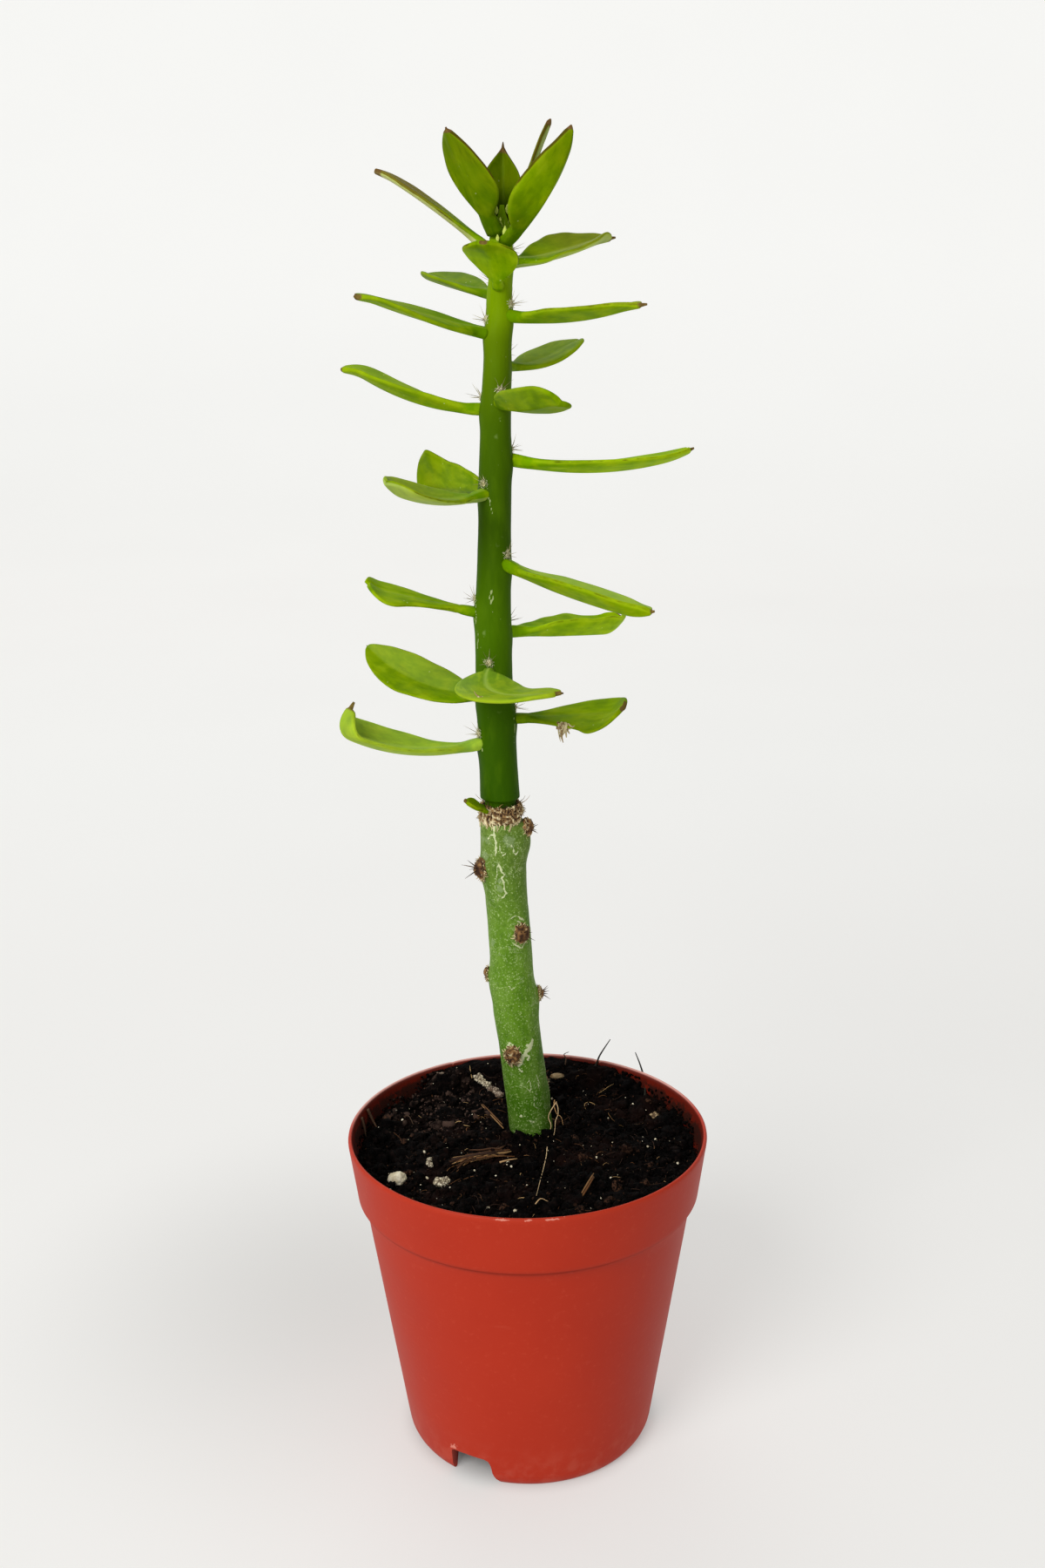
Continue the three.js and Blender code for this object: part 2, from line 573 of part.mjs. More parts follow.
// The notch seen from outside, with one square side and one side that flares out at the foot
function notchOutline() {
  const half = NOTCH_WIDTH / 2;
  const outline = new THREE.Shape();
  outline.moveTo(half, -1);
  outline.lineTo(half, NOTCH_HEIGHT - NOTCH_CORNER / 3);
  outline.lineTo(half - NOTCH_CORNER / 3, NOTCH_HEIGHT);
  outline.lineTo(-half + NOTCH_CORNER / 2, NOTCH_HEIGHT);
  outline.lineTo(-half, NOTCH_HEIGHT - NOTCH_CORNER / 2);
  outline.lineTo(-half, NOTCH_CORNER);
  outline.lineTo(-half - NOTCH_CORNER / 2, 0);
  outline.lineTo(-half - NOTCH_CORNER, -1);
  outline.closePath();
  return outline;
}

function makePot() {
  const shell = new THREE.LatheGeometry(potProfile(), POT_SIDES);
  shell.rotateX(Math.PI / 2);
  let solid = toSolid(shell);
  for (let k = 0; k < NOTCH_COUNT; k += 1) {
    const cut = new THREE.ExtrudeGeometry(notchOutline(), { depth: NOTCH_REACH, bevelEnabled: false });
    cut.rotateX(Math.PI / 2);
    cut.translate(0, NOTCH_INNER_RADIUS + NOTCH_REACH, 0);
    cut.rotateZ(radians(FIRST_NOTCH_AZIMUTH - 90 + (360 * k) / NOTCH_COUNT));
    solid = solid.subtract(toSolid(cut));
  }
  return solid;
}

// The pot's inner radius at a height
function innerRadius(height) {
  const collar = height > COLLAR_LOW_HEIGHT;
  const [lowRadius, lowHeight] = collar ? [COLLAR_LOW_RADIUS, COLLAR_LOW_HEIGHT] : [FOOT_RADIUS, FLOOR_TOP];
  const [highRadius, highHeight] = collar ? [RIM_RADIUS, POT_HEIGHT] : [BODY_TOP_RADIUS, BODY_TOP_HEIGHT];
  const share = Math.min(1, (height - lowHeight) / (highHeight - lowHeight));
  return lowRadius + (highRadius - lowRadius) * share - WALL - 0.2;
}

// The soil's height without its crumbs
function soilHeight(x, y) {
  const edge = Math.hypot(x, y) / RIM_RADIUS;
  const waves = 0.35 * Math.sin(0.42 * x + 1.1) * Math.cos(0.36 * y) + 0.25 * Math.sin(0.95 * y - 0.6 * x);
  const across = (x - SOIL_MOUND.x) / SOIL_MOUND.across;
  const deep = (y - SOIL_MOUND.y) / SOIL_MOUND.deep;
  const mound = SOIL_MOUND.height * Math.exp(-across * across - deep * deep);
  const sideFall = SOIL_SIDE_FALL * (x / RIM_RADIUS) ** 2 - SOIL_TILT * x;
  return SOIL_LEVEL + waves + mound - sideFall - SOIL_EDGE_FALL * edge ** 6;
}

function makeSoil() {
  const random = seededRandom(7);
  const circle = (radius, heightAt) => {
    const row = [];
    for (let j = 0; j < SOIL_SIDES; j += 1) {
      const angle = (2 * Math.PI * j) / SOIL_SIDES;
      const [x, y] = [radius * Math.cos(angle), radius * Math.sin(angle)];
      row.push(new THREE.Vector3(x, y, heightAt(x, y)));
    }
    return row;
  };
  const wall = (height) => circle(innerRadius(height) - SEAT, () => height);
  const rows = [wall(FLOOR_TOP + SEAT).map((point) => point.setZ(FLOOR_TOP + SEAT))];
  rows.push(wall(BODY_TOP_HEIGHT));
  rows.push(wall(COLLAR_LOW_HEIGHT + 0.5));
  const rim = innerRadius(SOIL_LEVEL - 1) - SEAT;
  for (let i = SOIL_RINGS; i > 0; i -= 1) {
    rows.push(circle((rim * i) / SOIL_RINGS, (x, y) => soilHeight(x, y) + (random() - 0.5) * 2 * SOIL_CRUMB));
  }
  return toSolid(skinOver(rows));
}

// The hole that the stem stands in
function stemHole() {
  const radiusAt = (height) => stemAt(height).r + SEAT;
  return toSolid(stemSkin(evenHeights(OLD_STEM_FOOT - SEAT, POT_HEIGHT, 6), OLD_STEM_SIDES, radiusAt));
}

function makeGrain(grain, grown, seed) {
  const random = seededRandom(seed);
  const lump = welded(new THREE.IcosahedronGeometry(1, 1));
  const at = lump.attributes.position;
  for (let i = 0; i < at.count; i += 1) {
    const radius = grain.r * (0.82 + 0.3 * random()) + grown;
    at.setXYZ(i, at.getX(i) * radius, at.getY(i) * radius * 0.85, at.getZ(i) * radius * 0.8);
  }
  lump.translate(grain.x, grain.y, soilHeight(grain.x, grain.y) + grain.r * 0.3);
  return toSolid(lump);
}

function makeSliver(sliver, grown) {
  const half = sliver.thickness / 2 + grown;
  const rod = new THREE.CylinderGeometry(half, half * 0.8, sliver.length + 2 * grown, 6);
  rod.scale(1, 1, 0.75);
  rod.rotateZ(Math.PI / 2);
  rod.rotateZ(radians(sliver.heading));
  rod.translate(sliver.x, sliver.y, soilHeight(sliver.x, sliver.y) + sliver.thickness * 0.35);
  return toSolid(rod);
}

// The whole plant in its pot
const plant = new THREE.Group();
plant.add(namedMesh("pot", makePot(), POT_PLASTIC));

let soil = makeSoil().subtract(stemHole());
GRAINS.forEach((grain, index) => {
  soil = soil.subtract(makeGrain(grain, SEAT, index + 3));
  plant.add(namedMesh(`perlite_${index + 1}`, makeGrain(grain, 0, index + 3), PERLITE));
});
SLIVERS.forEach((sliver, index) => {
  soil = soil.subtract(makeSliver(sliver, SEAT));
  plant.add(namedMesh(`bark_sliver_${index + 1}`, makeSliver(sliver, 0), BARK_BROWN));
});
plant.add(namedMesh("soil", soil, PEAT));

plant.add(namedMesh("old_stem", makeOldStem(), OLD_BARK_GREEN));
plant.add(namedMesh("bark_ring", makeBarkRing(), DRY_BARK));
plant.add(namedMesh("shoot", makeShoot(), SHOOT_GREEN));
plant.add(namedMesh("leaf_basal", makeLeaf(BASAL_LEAF, BASAL_LEAF.azimuth), LEAF_GREEN));
LEAVES.forEach((leaf, index) => {
  const number = String(index + 1).padStart(2, "0");
  plant.add(namedMesh(`leaf_${number}`, makeLeaf(leaf, leafAzimuth(index)), LEAF_GREEN));
});

export default plant;
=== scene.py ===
import math
import random
from collections import namedtuple

import bmesh
import bpy
import numpy as np
from mathutils import Matrix, Vector, noise


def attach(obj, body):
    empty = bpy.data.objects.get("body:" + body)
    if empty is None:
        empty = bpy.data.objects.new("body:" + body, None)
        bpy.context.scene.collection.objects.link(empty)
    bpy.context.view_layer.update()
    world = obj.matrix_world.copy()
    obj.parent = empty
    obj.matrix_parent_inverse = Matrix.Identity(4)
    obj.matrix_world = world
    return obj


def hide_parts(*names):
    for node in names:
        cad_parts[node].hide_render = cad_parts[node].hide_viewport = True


# A potted leafy cactus cutting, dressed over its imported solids. Lengths here are millimetres, angles are
# degrees, and a mesh is turned to metres when it is made. Azimuth 0 points right and 90 points back.
MM = 0.001

# Pot
POT_SIDES = 240
POT_PROFILE = [
    (0.0, 3.0), (8.0, 3.0), (14.0, 3.0), (17.5, 3.0), (17.7, 1.5), (17.85, 0.15), (17.95, 0.0), (18.25, 0.0),
    (18.6, 0.2), (18.97, 0.75), (19.25, 1.4), (19.38, 2.0), (19.67, 3.8), (20.0, 6.0), (20.6, 10.0),
    (21.22, 14.0), (21.84, 18.0), (22.45, 22.0), (23.06, 26.0), (23.67, 30.0), (24.3, 34.0), (24.9, 38.0),
    (25.18, 39.5), (25.3, 39.9), (25.62, 40.2), (26.05, 40.5), (26.25, 40.85), (26.32, 41.3), (26.45, 42.3),
    (26.72, 44.2), (27.0, 46.2), (27.25, 48.0), (27.42, 49.1), (27.47, 49.55), (27.42, 49.82), (27.3, 49.96),
    (27.12, 50.0), (26.98, 49.93), (26.88, 49.7), (26.8, 49.3), (26.6, 48.4), (26.2, 46.6), (25.75, 44.0),
    (25.2, 41.2), (24.75, 40.3), (24.1, 39.6), (22.5, 29.5), (20.4, 17.0), (18.3, 4.9), (17.9, 4.25),
    (17.4, 4.1), (10.0, 4.1), (0.0, 4.1),
]
NOTCH_COUNT = 3
FIRST_NOTCH_AZIMUTH = -118
NOTCH_WIDTH = 6.8
NOTCH_HEIGHT = 4.5
NOTCH_CORNER = 1.4
NOTCH_START = 12.5
NOTCH_END = 21.5
# Nicks in the lip: azimuth, width and depth
LIP_NICKS = [
    (-98, 0.4, 0.07), (-90.5, 0.3, 0.05), (-79, 0.5, 0.05), (-52, 0.5, 0.05), (64, 1.4, 0.1),
    (117, 1.2, 0.1),
]
LIP_START = 49.3
LIP_DEPTH = 0.7
COLLAR_EDGE = 40.3
PROFILE_STEP = 2.2
CREASE_ANGLE = 40
# The outside by height and radius, which tells the pot's inner face from its outer one
OUTER_WALL = [(0, 17.7), (1.5, 19.3), (39.6, 25.2), (41.2, 26.3), (49.5, 27.45), (50, 27.0)]
# Scuffs on the wall: azimuth, height, half length across and half height. The three on top of the lip at the
# front are a painted highlight along the lip
POT_SCUFFS_AND_HIGHLIGHTS = [
    (-43, 44.9, 0.7, 0.1), (-103.5, 41.7, 0.14, 0.1), (-103, 28.0, 0.1, 0.1), (-126, 4.8, 0.8, 0.2),
    (-121, 4.7, 0.5, 0.16), (-112, 4.7, 0.4, 0.16), (40, 30.0, 1.0, 0.14), (130, 18.0, 0.2, 0.6),
    (200, 33.0, 0.7, 0.14), (165, 45.0, 0.9, 0.14), (-98, 49.85, 1.3, 0.12), (-90, 49.88, 1.0, 0.1),
    (-83, 49.86, 1.6, 0.1), (-118, 4.7, 2.2, 0.14), (-128.4, 3.4, 0.14, 1.2),
]

# Soil
RIM_RADIUS = 27.5
RIM_HEIGHT = 50.0
SOIL_LEVEL = 46.9
SOIL_RINGS = 128
SOIL_SPOKES = 540
SOIL_FOOT = 4.5
# The soil's side against the wall: radius and height
SOIL_SIDE = [(17.9, SOIL_FOOT), (23.9, 39.6), (24.9, 42.5), (25.45, 44.2)]
# The pot's inner wall: height and radius
INNER_WALL = [(39.6, 24.1), (41.2, 25.2), (44.0, 25.75), (46.6, 26.2), (48.4, 26.6), (49.7, 26.88)]
# How much higher the soil stands right at the wall than a little way in, by azimuth
WALL_PILE = [
    (-170, 1.2), (-150, 0.5), (-120, 0.0), (-20, 0.2), (0, 0.3), (10, 0.7), (28, 1.1), (45, 1.3), (56, 2.1),
    (64, 1.4), (72, 0.6), (84, 0.9), (95, 1.1), (106, 1.5), (118, 3.0), (126, 3.2), (131, 2.0), (136, 1.2),
    (147, 1.6), (163, 1.8), (180, 1.6),
]
# Mounds of the soil: height, middle, and reach across and to the back. The heaps lie against the wall
SOIL_MOUND = (2.3, 1.5, 26, 10, 12)
SOIL_HEAPS = [(1.3, -5.5, 25.5, 8.5, 4.5), (0.7, 13, 22, 7.0, 4.0)]
# Where the old stem comes out of the soil, and how far the crumbs stay from its middle
STEM_IN_SOIL = (0.7, 6.0)
STEM_CLEARANCE = 3.7
COARSE_CRUMBS = 1050
FINE_CRUMBS = 4200
# Crumbs that cling to the wall: middle azimuth, spread and number
WALL_CRUMBS = [(112, 14, 260), (70, 12, 120), (160, 16, 90), (20, 22, 140), (250, 60, 80)]
PALE_SPECKS = 120
SOIL_THREADS = 190

# Stem stations: height, offset to the right and to the back, radius
STEM_STATIONS = [
    (28, 2.0, 6.8, 3.0), (37, 1.4, 6.4, 3.3), (46, 0.7, 6.0, 3.45), (53, 0.0, 5.7, 3.4),
    (60, -0.8, 5.4, 3.3), (68, -1.7, 5.0, 3.4), (76, -2.2, 4.6, 3.25), (86, -2.8, 4.2, 3.2),
    (96, -3.3, 3.7, 3.3), (100, -3.5, 3.6, 3.0), (107, -3.75, 3.5, 2.8), (117, -4.1, 3.5, 2.7),
    (127, -4.25, 3.5, 2.6), (137, -3.95, 3.5, 2.4), (147, -3.65, 3.5, 2.3), (157, -3.45, 3.5, 2.1),
    (166, -3.0, 3.5, 1.9), (174, -2.6, 3.5, 1.65), (181, -2.3, 3.5, 1.25), (186, -2.2, 3.5, 0.7),
]
OLD_STEM_FOOT = 29
OLD_STEM_TOP = 99.6
OLD_STEM_RADIUS = 3.3
OLD_STEM_ROWS = 480
OLD_STEM_SIDES = 160
SHOOT_FOOT = 99.9
SHOOT_TOP = 184.9
SHOOT_RADIUS = 2.5
SHOOT_ROWS = 520
SHOOT_SIDES = 96
# Both stems narrow to a neck inside the dry bark
NECK_RADIUS = 2.3
NECK_FLARE = 0.5
OLD_NECK_LENGTH = 0.7
SHOOT_NECK_LENGTH = 1.7

# Dry bark round the old cut, and its section as radius and share of its height
RING_LOW = 98.2
RING_HIGH = 101.1
RING_ARCH = 1.5
RING_SIDES = 200
RING_SECTION = [
    (2.3, 0.1), (2.34, 0.4), (2.4, 0.7), (2.46, 0.86), (2.56, 0.96), (2.7, 1.0), (2.84, 0.98), (2.96, 0.92),
    (3.05, 0.83), (3.12, 0.72), (3.17, 0.6), (3.2, 0.48), (3.23, 0.37), (3.25, 0.26), (3.26, 0.16),
    (3.24, 0.07), (3.18, 0.01), (3.05, -0.02), (2.9, 0.0),
]
RING_FLAKES = 760
# Longer curls that stand out of the ring: azimuth and length
RING_CURLS = [(352, 2.1), (12, 1.5), (150, 1.6), (205, 1.2)]
# Azimuths of the bark threads that hang from the ring on the near side
RING_FRINGE = range(185, 361, 9)

# Bare areoles of the old stem: height, azimuth, size, number of spines and their length
OLD_AREOLES = [
    (97.4, -12, 1.6, 7, 1.5), (91.3, 204, 1.85, 5, 2.8), (86.0, 80, 1.4, 4, 2.0), (81.4, -58, 1.7, 6, 2.2),
    (73.4, 172, 1.15, 0, 0), (70.2, 2, 1.2, 7, 1.6), (65.5, 95, 1.4, 4, 2.0), (61.3, -110, 1.7, 6, 1.9),
    (53.5, 50, 1.4, 3, 1.8),
]
# Swellings of the old stem below its areoles: height, azimuth, how far they reach, how high they stand
TUBERCLES = [
    (95.4, -8, 4.6, 0.85), (90.4, 190, 4.0, 0.4), (85.2, 80, 4.2, 0.4), (80.6, -57, 4.0, 0.3),
    (72.6, 168, 4.2, 0.42), (69.4, 4, 4.2, 0.42), (64.7, 95, 4.2, 0.4), (60.4, -112, 4.0, 0.3),
    (52.7, 50, 4.2, 0.4),
]
# Hairs of the areoles and of the cushions over the leaves
AREOLE_HAIRS = 230
PALE_AREOLE_HAIRS = 70
AXIL_HAIRS = 110
HAIR_RADIUS = 0.045
SPINE_RADIUS = 0.11
# Bristles over each leaf
BRISTLE_COUNT = 7
BRISTLE_LENGTH = 2.2
BRISTLE_RADIUS = 0.048
# Pale corky scars on the old stem: half width of the line, then its points as height and azimuth
OLD_SCARS = [
    (0.15, [(99.2, 249), (98.2, 251), (97.2, 250), (96.5, 253)]),
    (0.1, [(97.2, 250), (96.7, 238), (96.4, 231)]),
    (0.11, [(96.5, 253), (95.2, 253), (93.8, 250)]),
    (0.1, [
        (92.5, 256), (91.7, 263), (90.9, 268), (90.3, 263), (89.6, 268), (88.6, 267), (87.7, 272),
        (87.2, 263),
    ]),
    (0.05, [(87.2, 263), (87.5, 252), (88.0, 242), (88.8, 241), (89.7, 248), (90.8, 251), (92.5, 256)]),
    (0.08, [(95.4, 262), (94.6, 266), (93.9, 271), (94.2, 276)]),
    (0.08, [(95.6, 292), (94.8, 300), (94.3, 296), (93.9, 304), (94.6, 310)]),
    (0.08, [(83.9, 281), (84.2, 291), (83.9, 303), (83.1, 316)]),
    (0.26, [(59.6, 262), (60.2, 268), (60.9, 274), (61.7, 284), (62.2, 296), (63.4, 308)]),
    (0.16, [(61.7, 284), (60.9, 290), (60.4, 288)]),
    (0.14, [(62.2, 296), (62.9, 290)]),
    (0.12, [(62.6, 240), (63.2, 247), (62.9, 255)]),
    (0.1, [(59.0, 262), (58.4, 266), (58.6, 270)]),
    (0.06, [(56.4, 276), (56.9, 284), (55.6, 288), (54.9, 281), (55.4, 277)]),
    (0.06, [(53.6, 292), (52.6, 288), (52.0, 294)]),
    (0.06, [(50.0, 270), (49.4, 276), (49.8, 284)]),
    (0.06, [(57.5, 306), (56.4, 310), (55.2, 307)]),
    (0.16, [(50.7, 248), (50.6, 250)]),
    (0.1, [(79.8, 281), (79.2, 292), (79.0, 302), (79.6, 312), (80.6, 318)]),
    (0.1, [(83.2, 296), (83.0, 304), (82.6, 312)]),
    (0.06, [(72.8, 262), (72.2, 268), (72.5, 274)]),
    (0.12, [(72.0, 120), (73.4, 126), (74.5, 122), (76.8, 118)]),
    (0.1, [(90.0, 60), (89.1, 66), (88.2, 61), (86.8, 64)]),
    (0.1, [(57.0, 150), (57.9, 158), (58.0, 166), (57.2, 175)]),
]
# Silvery patches of the old stem: height, azimuth, size
SILVER_PATCHES = [
    (88.6, 257, 1.3), (90.0, 258, 1.0), (96.0, 222, 1.8), (93.4, 218, 1.5), (96.2, 290, 2.0),
    (79.5, 216, 1.3), (66, 30, 2.0),
]
# Pale marks on the shoot: half width of the line, then its points as height and azimuth
SHOOT_SCARS = [
    (0.07, [(131.0, 206), (129.9, 210), (128.9, 214), (128.2, 209), (128.9, 206)]),
    (0.06, [(127.2, 214), (125.8, 217), (124.6, 212)]),
    (0.07, [(133.2, 264), (132.2, 258), (131.2, 264), (132.2, 270), (133.2, 264)]),
    (0.1, [(130.2, 268), (130.0, 270)]),
    (0.05, [(146.2, 251), (145.0, 256), (143.8, 264)]),
    (0.08, [(109.6, 226), (110.8, 221)]),
    (0.06, [(115.0, 330), (113.0, 334), (111.0, 330)]),
    (0.08, [(120.0, 60), (118.4, 66), (117.2, 62)]),
]

# Pale scales at the growing point: height, azimuth, distance from the middle, size
BUD_SCALES = [
    (182.7, -106, 2.1, 0.55), (181.4, -77, 2.1, 0.8), (180.6, -104, 2.1, 0.5), (184.3, -58, 1.4, 0.65),
    (184.2, -122, 1.4, 0.6), (183.0, -96, 1.8, 0.3), (182.8, 80, 1.2, 0.5), (181.6, 140, 1.3, 0.5),
]
BUD_HAIRS = 16

# Leaves
GOLDEN_ANGLE = 137.5
FIRST_LEAF_AZIMUTH = -142.5
LEAF_ROWS = 46
LEAF_COLUMNS = 13
LEAF_SINK = 0.9
LEAF_WIDENING = 1.05
EDGE_THICKNESS = 0.64
STALK_THICKNESS = 0.5
# Flesh and stalks grow with the length of the leaf
FLESH_THICKNESS = 0.55
FLESH_BY_LENGTH = 0.028
STALK_HALF_WIDTH = 0.62
STALK_BY_LENGTH = 0.012
# The shoot swells at each leaf: by how much, over which length and how far below the leaf's base
SWELLING = 0.3
SWELLING_LENGTH = 1.8
SWELLING_DROP = 0.6
# Cushions over the leaves. None shows where a leaf rises steeper than this from the shoot
AXIL_SIZE = 0.6
AXIL_ABOVE_LEAF = 1.6
STEEPEST_OPEN_AXIL = 30
CURL_START = 0.82
POINT_STEPS = (0.2, 0.4, 0.6, 0.75, 0.87, 0.95, 1.0)
# Height of the base; lean away from the spiral; rise at the base; bend up and sweep sideways from base to
# tip; roll and twist about the midrib; length and width; fold of each half; share of the length where it
# is widest; taper, small for a round end; curl of the end; length of the point
Leaf = namedtuple("Leaf", "height lean rise bend sweep roll twist length width fold widest taper curl point")
# From the lowest leaf up
LEAF_TABLE = [
    (110.4, -10, -5, 40, 15, 4, 24, 25.2, 7.7, 27, 0.67, 0.53, 95, 1.7),
    (113.9, 7, 0, 12, -38, -12, -10, 15.7, 8.0, 4, 0.74, 0.34, 25, 0.8),
    (116.8, 11, -3, 26, -14, 36, 17, 23.5, 7.0, 25, 0.5, 0.68, 0, 1.2),
    (121.1, -13, -13, 31, 87, -2, 0, 19.8, 9.2, 4, 0.42, 0.56, -10, 0.6),
    (126.4, -10, -7, 0, 11, 1, 3, 22.6, 6.6, 38, 0.64, 0.4, 35, 1.2),
    (129.9, 6, 13, 4, 1, 9, 4, 14.7, 6.6, 3, 0.78, 0.34, 20, 0.3),
    (136.4, -6, -15, 7, 10, 17, 3, 24.0, 6.6, 26, 0.55, 0.6, 18, 1.0),
    (146.7, 14, -2, 0, 8, -58, -4, 21.2, 9.4, 16, 0.62, 0.48, -15, 0.8),
    (146.4, -7, -6, 27, 2, 6, -4, 19.0, 7.2, 21, 0.72, 0.53, 15, 1.0),
    (150.9, 1, -13, 26, 8, 8, -4, 26.3, 7.3, 15, 0.55, 0.6, 5, 1.7),
    (158.0, 8, 1, 33, 7, -22, 31, 20.2, 6.0, 22, 0.58, 0.72, -25, 0.9),
    (159.0, -5, -4, 15, 13, 27, 4, 20.0, 6.4, 16, 0.56, 0.4, -25, 1.0),
    (163.8, -8, -7, 36, -17, -25, 29, 16.6, 6.9, 12, 0.68, 0.57, 0, 0.5),
    (168.4, -5, 13, 6, 12, 27, -23, 18.2, 6.6, 6, 0.61, 0.52, -12, 0.8),
    (170.4, -16, -6, 21, -9, 18, -21, 20.2, 6.6, 13, 0.54, 0.72, -10, 1.7),
    (173.4, 7, 8, 3, -2, 12, -13, 15.4, 6.0, 23, 0.6, 0.55, 0, 1.2),
    (174.9, 4, 40, -27, -4, 13, -11, 10.0, 7.2, 6, 0.58, 0.64, 15, 0.4),
    (177.5, -1, 5, 15, 6, -29, 28, 16.3, 7.9, 24, 0.56, 0.8, -12, 2.2),
    (179.7, 0, 40, -10, -2, 2, -3, 17.4, 5.8, 4, 0.66, 0.6, -10, 0.5),
    (180.8, 2, 30, 29, -6, -3, -8, 17.3, 7.6, 34, 0.5, 0.82, 15, 0.9),
    (183.7, -3, 74, 28, 5, -5, 18, 9.0, 5.4, 38, 0.48, 1.0, 10, 0.5),
    (182.2, 4, 54, 3, -8, -7, 18, 13.6, 7.4, 5, 0.61, 0.82, 5, 0.7),
    (183.0, 25, 74, -11, -8, 19, 1, 13.6, 5.4, 3, 0.61, 0.9, 0, 0.4),
    (182.4, 6, 60, 6, 4, -10, 0, 12.4, 5.2, 15, 0.6, 0.8, 0, 0.8),
]
LEAVES = [Leaf(*row) for row in LEAF_TABLE]
BASAL_LEAF = Leaf(100.9, 0, 26, 6, -14, 30, 0, 3.1, 2.3, 12, 0.5, 0.9, 0, 0.6)
BASAL_LEAF_AZIMUTH = 224

# What single leaves differ in, by their number. 0 is the basal leaf
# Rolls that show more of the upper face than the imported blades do
FINER_ROLLS = {7: 8, 9: 22, 19: 4}
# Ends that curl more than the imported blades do, in degrees
FINER_CURLS = {8: -75, 12: -10, 13: -14}
# Finer outlines: the width, the share where it is widest, and the taper of the end
FINER_OUTLINES = {
    5: (7.7, 0.68, 0.34), 7: (7.6, 0.62, 0.55), 8: (7.8, 0.58, 0.5), 12: (6.7, 0.6, 0.3),
    14: (7.6, 0.6, 0.5), 20: (7.7, 0.53, 0.98), 21: (6.5, 0.46, 1.5),
}
# One side wider than the other: share of the length, reach along it, amount
LOPSIDED = {
    2: [(0.78, 0.13, 0.3)], 5: [(0.5, 0.3, -0.25)], 6: [(0.82, 0.16, -0.5)], 8: [(0.8, 0.12, -0.6)],
    20: [(0.25, 0.28, 0.52)], 22: [(0.22, 0.28, -0.5)],
}
# A lobed end: share of the length, and how far each side is pushed forward there
LOBES = {4: (0.9, 0.8, 0.2), 6: (0.9, 0.3, 0.7), 13: (0.88, 0.3, 0.15)}
# Stalks that differ from the others: half width and how deep they sink in
WIDE_STALKS = {0: (0.8, 0.5), 20: (1.1, 1.2), 21: (1.9, 2.6), 22: (1.1, 1.2), 24: (0.9, 1.2)}
# An end drawn out to a narrow tip: the share of the leaf's point that is narrow
DRAWN_OUT = {
    1: 0.6, 3: 0.2, 4: 0.5, 7: 0.5, 10: 0.35, 14: 0.4, 15: 0.5, 16: 0.25, 18: 0.4, 21: 0.5, 22: 0.3,
}
# How wavy the edge is
PLAIN_WAVE = 0.2
WAVY_EDGES = {1: 0.5, 3: 1.1, 5: 1.0, 8: 0.9, 18: 0.8}
# Length of the dry tip and how dry the edges are
LEAF_DRYNESS = {
    0: (0.2, 0.9), 1: (1.3, 0.8), 2: (0.05, 0.45), 3: (0.1, 0.8), 4: (0.4, 0.7), 5: (0.2, 0.9),
    6: (0.0, 0.9), 7: (0.5, 0.9), 8: (0.2, 0.9), 9: (0.0, 0.9), 10: (0.7, 0.9), 11: (0.4, 0.8),
    12: (0.0, 0.2), 13: (0.1, 0.9), 14: (0.6, 0.9), 15: (1.1, 0.9), 16: (0.6, 0.8), 17: (0.1, 0.75),
    18: (1.6, 0.9), 19: (1.3, 2.2), 20: (0.5, 1.05), 21: (1.3, 1.1), 22: (0.6, 1.1), 23: (1.1, 1.1),
    24: (0.6, 1.0),
}
# How dry the edge of the half nearer to the front is, as a share of the other half's
PLAIN_NEAR_EDGE = 0.65
NEAR_EDGES = {
    11: 0.4, 13: 0.4, 14: 0.3, 16: 0.3, 17: 1.0, 18: 0.0, 19: 0.3, 20: 1.0, 21: 1.0, 22: 1.0, 23: 1.0,
    24: 1.0,
}
# The leaves from here up have dry edges mostly on their outer half
FIRST_TOP_LEAF = 20
# Painted light and shade: how much lighter or darker the whole leaf is painted
PAINTED_LEAF_LIGHT = {
    0: 0.75, 1: 1.55, 2: 0.82, 3: 0.82, 4: 1.12, 5: 1.6, 6: 1.07, 7: 1.08, 8: 0.84, 9: 1.18, 10: 1.43,
    11: 1.0, 12: 0.85, 13: 0.92, 14: 1.0, 15: 1.08, 16: 0.8, 17: 1.35, 18: 1.38, 19: 1.05, 20: 0.96,
    21: 0.5, 22: 0.65, 23: 0.8, 24: 0.85,
}
# Painted shade: how much darker it gets towards its base, and towards its end
PAINTED_BASE_SHADE = {20: 0.2, 21: 0.75, 22: 0.1}
PAINTED_END_SHADE = {1: 0.2, 8: 0.15, 17: 0.38, 18: 0.22, 20: 0.35, 21: 0.1, 22: 0.18}
# Painted shade: how much darker the half that is turned to the back is painted, or how much paler, as a
# painted highlight, where this is below 0
PLAIN_PAINTED_FAR_HALF_SHADE = 0.15
PAINTED_FAR_HALF_SHADE = {
    3: -0.3, 4: 0.3, 5: 0.4, 7: -0.6, 9: -0.2, 11: -0.3, 12: 0.4, 13: -0.35, 14: 0.5, 16: 0.6, 18: 0.2,
}
# How bronze the upper face turns towards the end
BRONZE_ENDS = {9: 0.2, 15: 0.3, 18: 0.4, 19: 0.85, 23: 0.6}
# How pale the lower face is, and the leaves that are as pale on their upper face
PALE_UNDERSIDES = {1: 0.1, 4: 0.05, 9: 0.25, 18: 0.35, 19: 0.85, 23: 0.35}
PALE_ALL_OVER = (1, 4)
# How light the line of the midrib is
PLAIN_MIDRIB = 0.1
LIGHT_MIDRIBS = {1: 0.3, 4: 0.6, 5: 0.7, 9: 0.2, 10: 0.35, 12: 0.25, 13: 0.3, 14: 0.3, 18: 0.9, 20: 0.3}
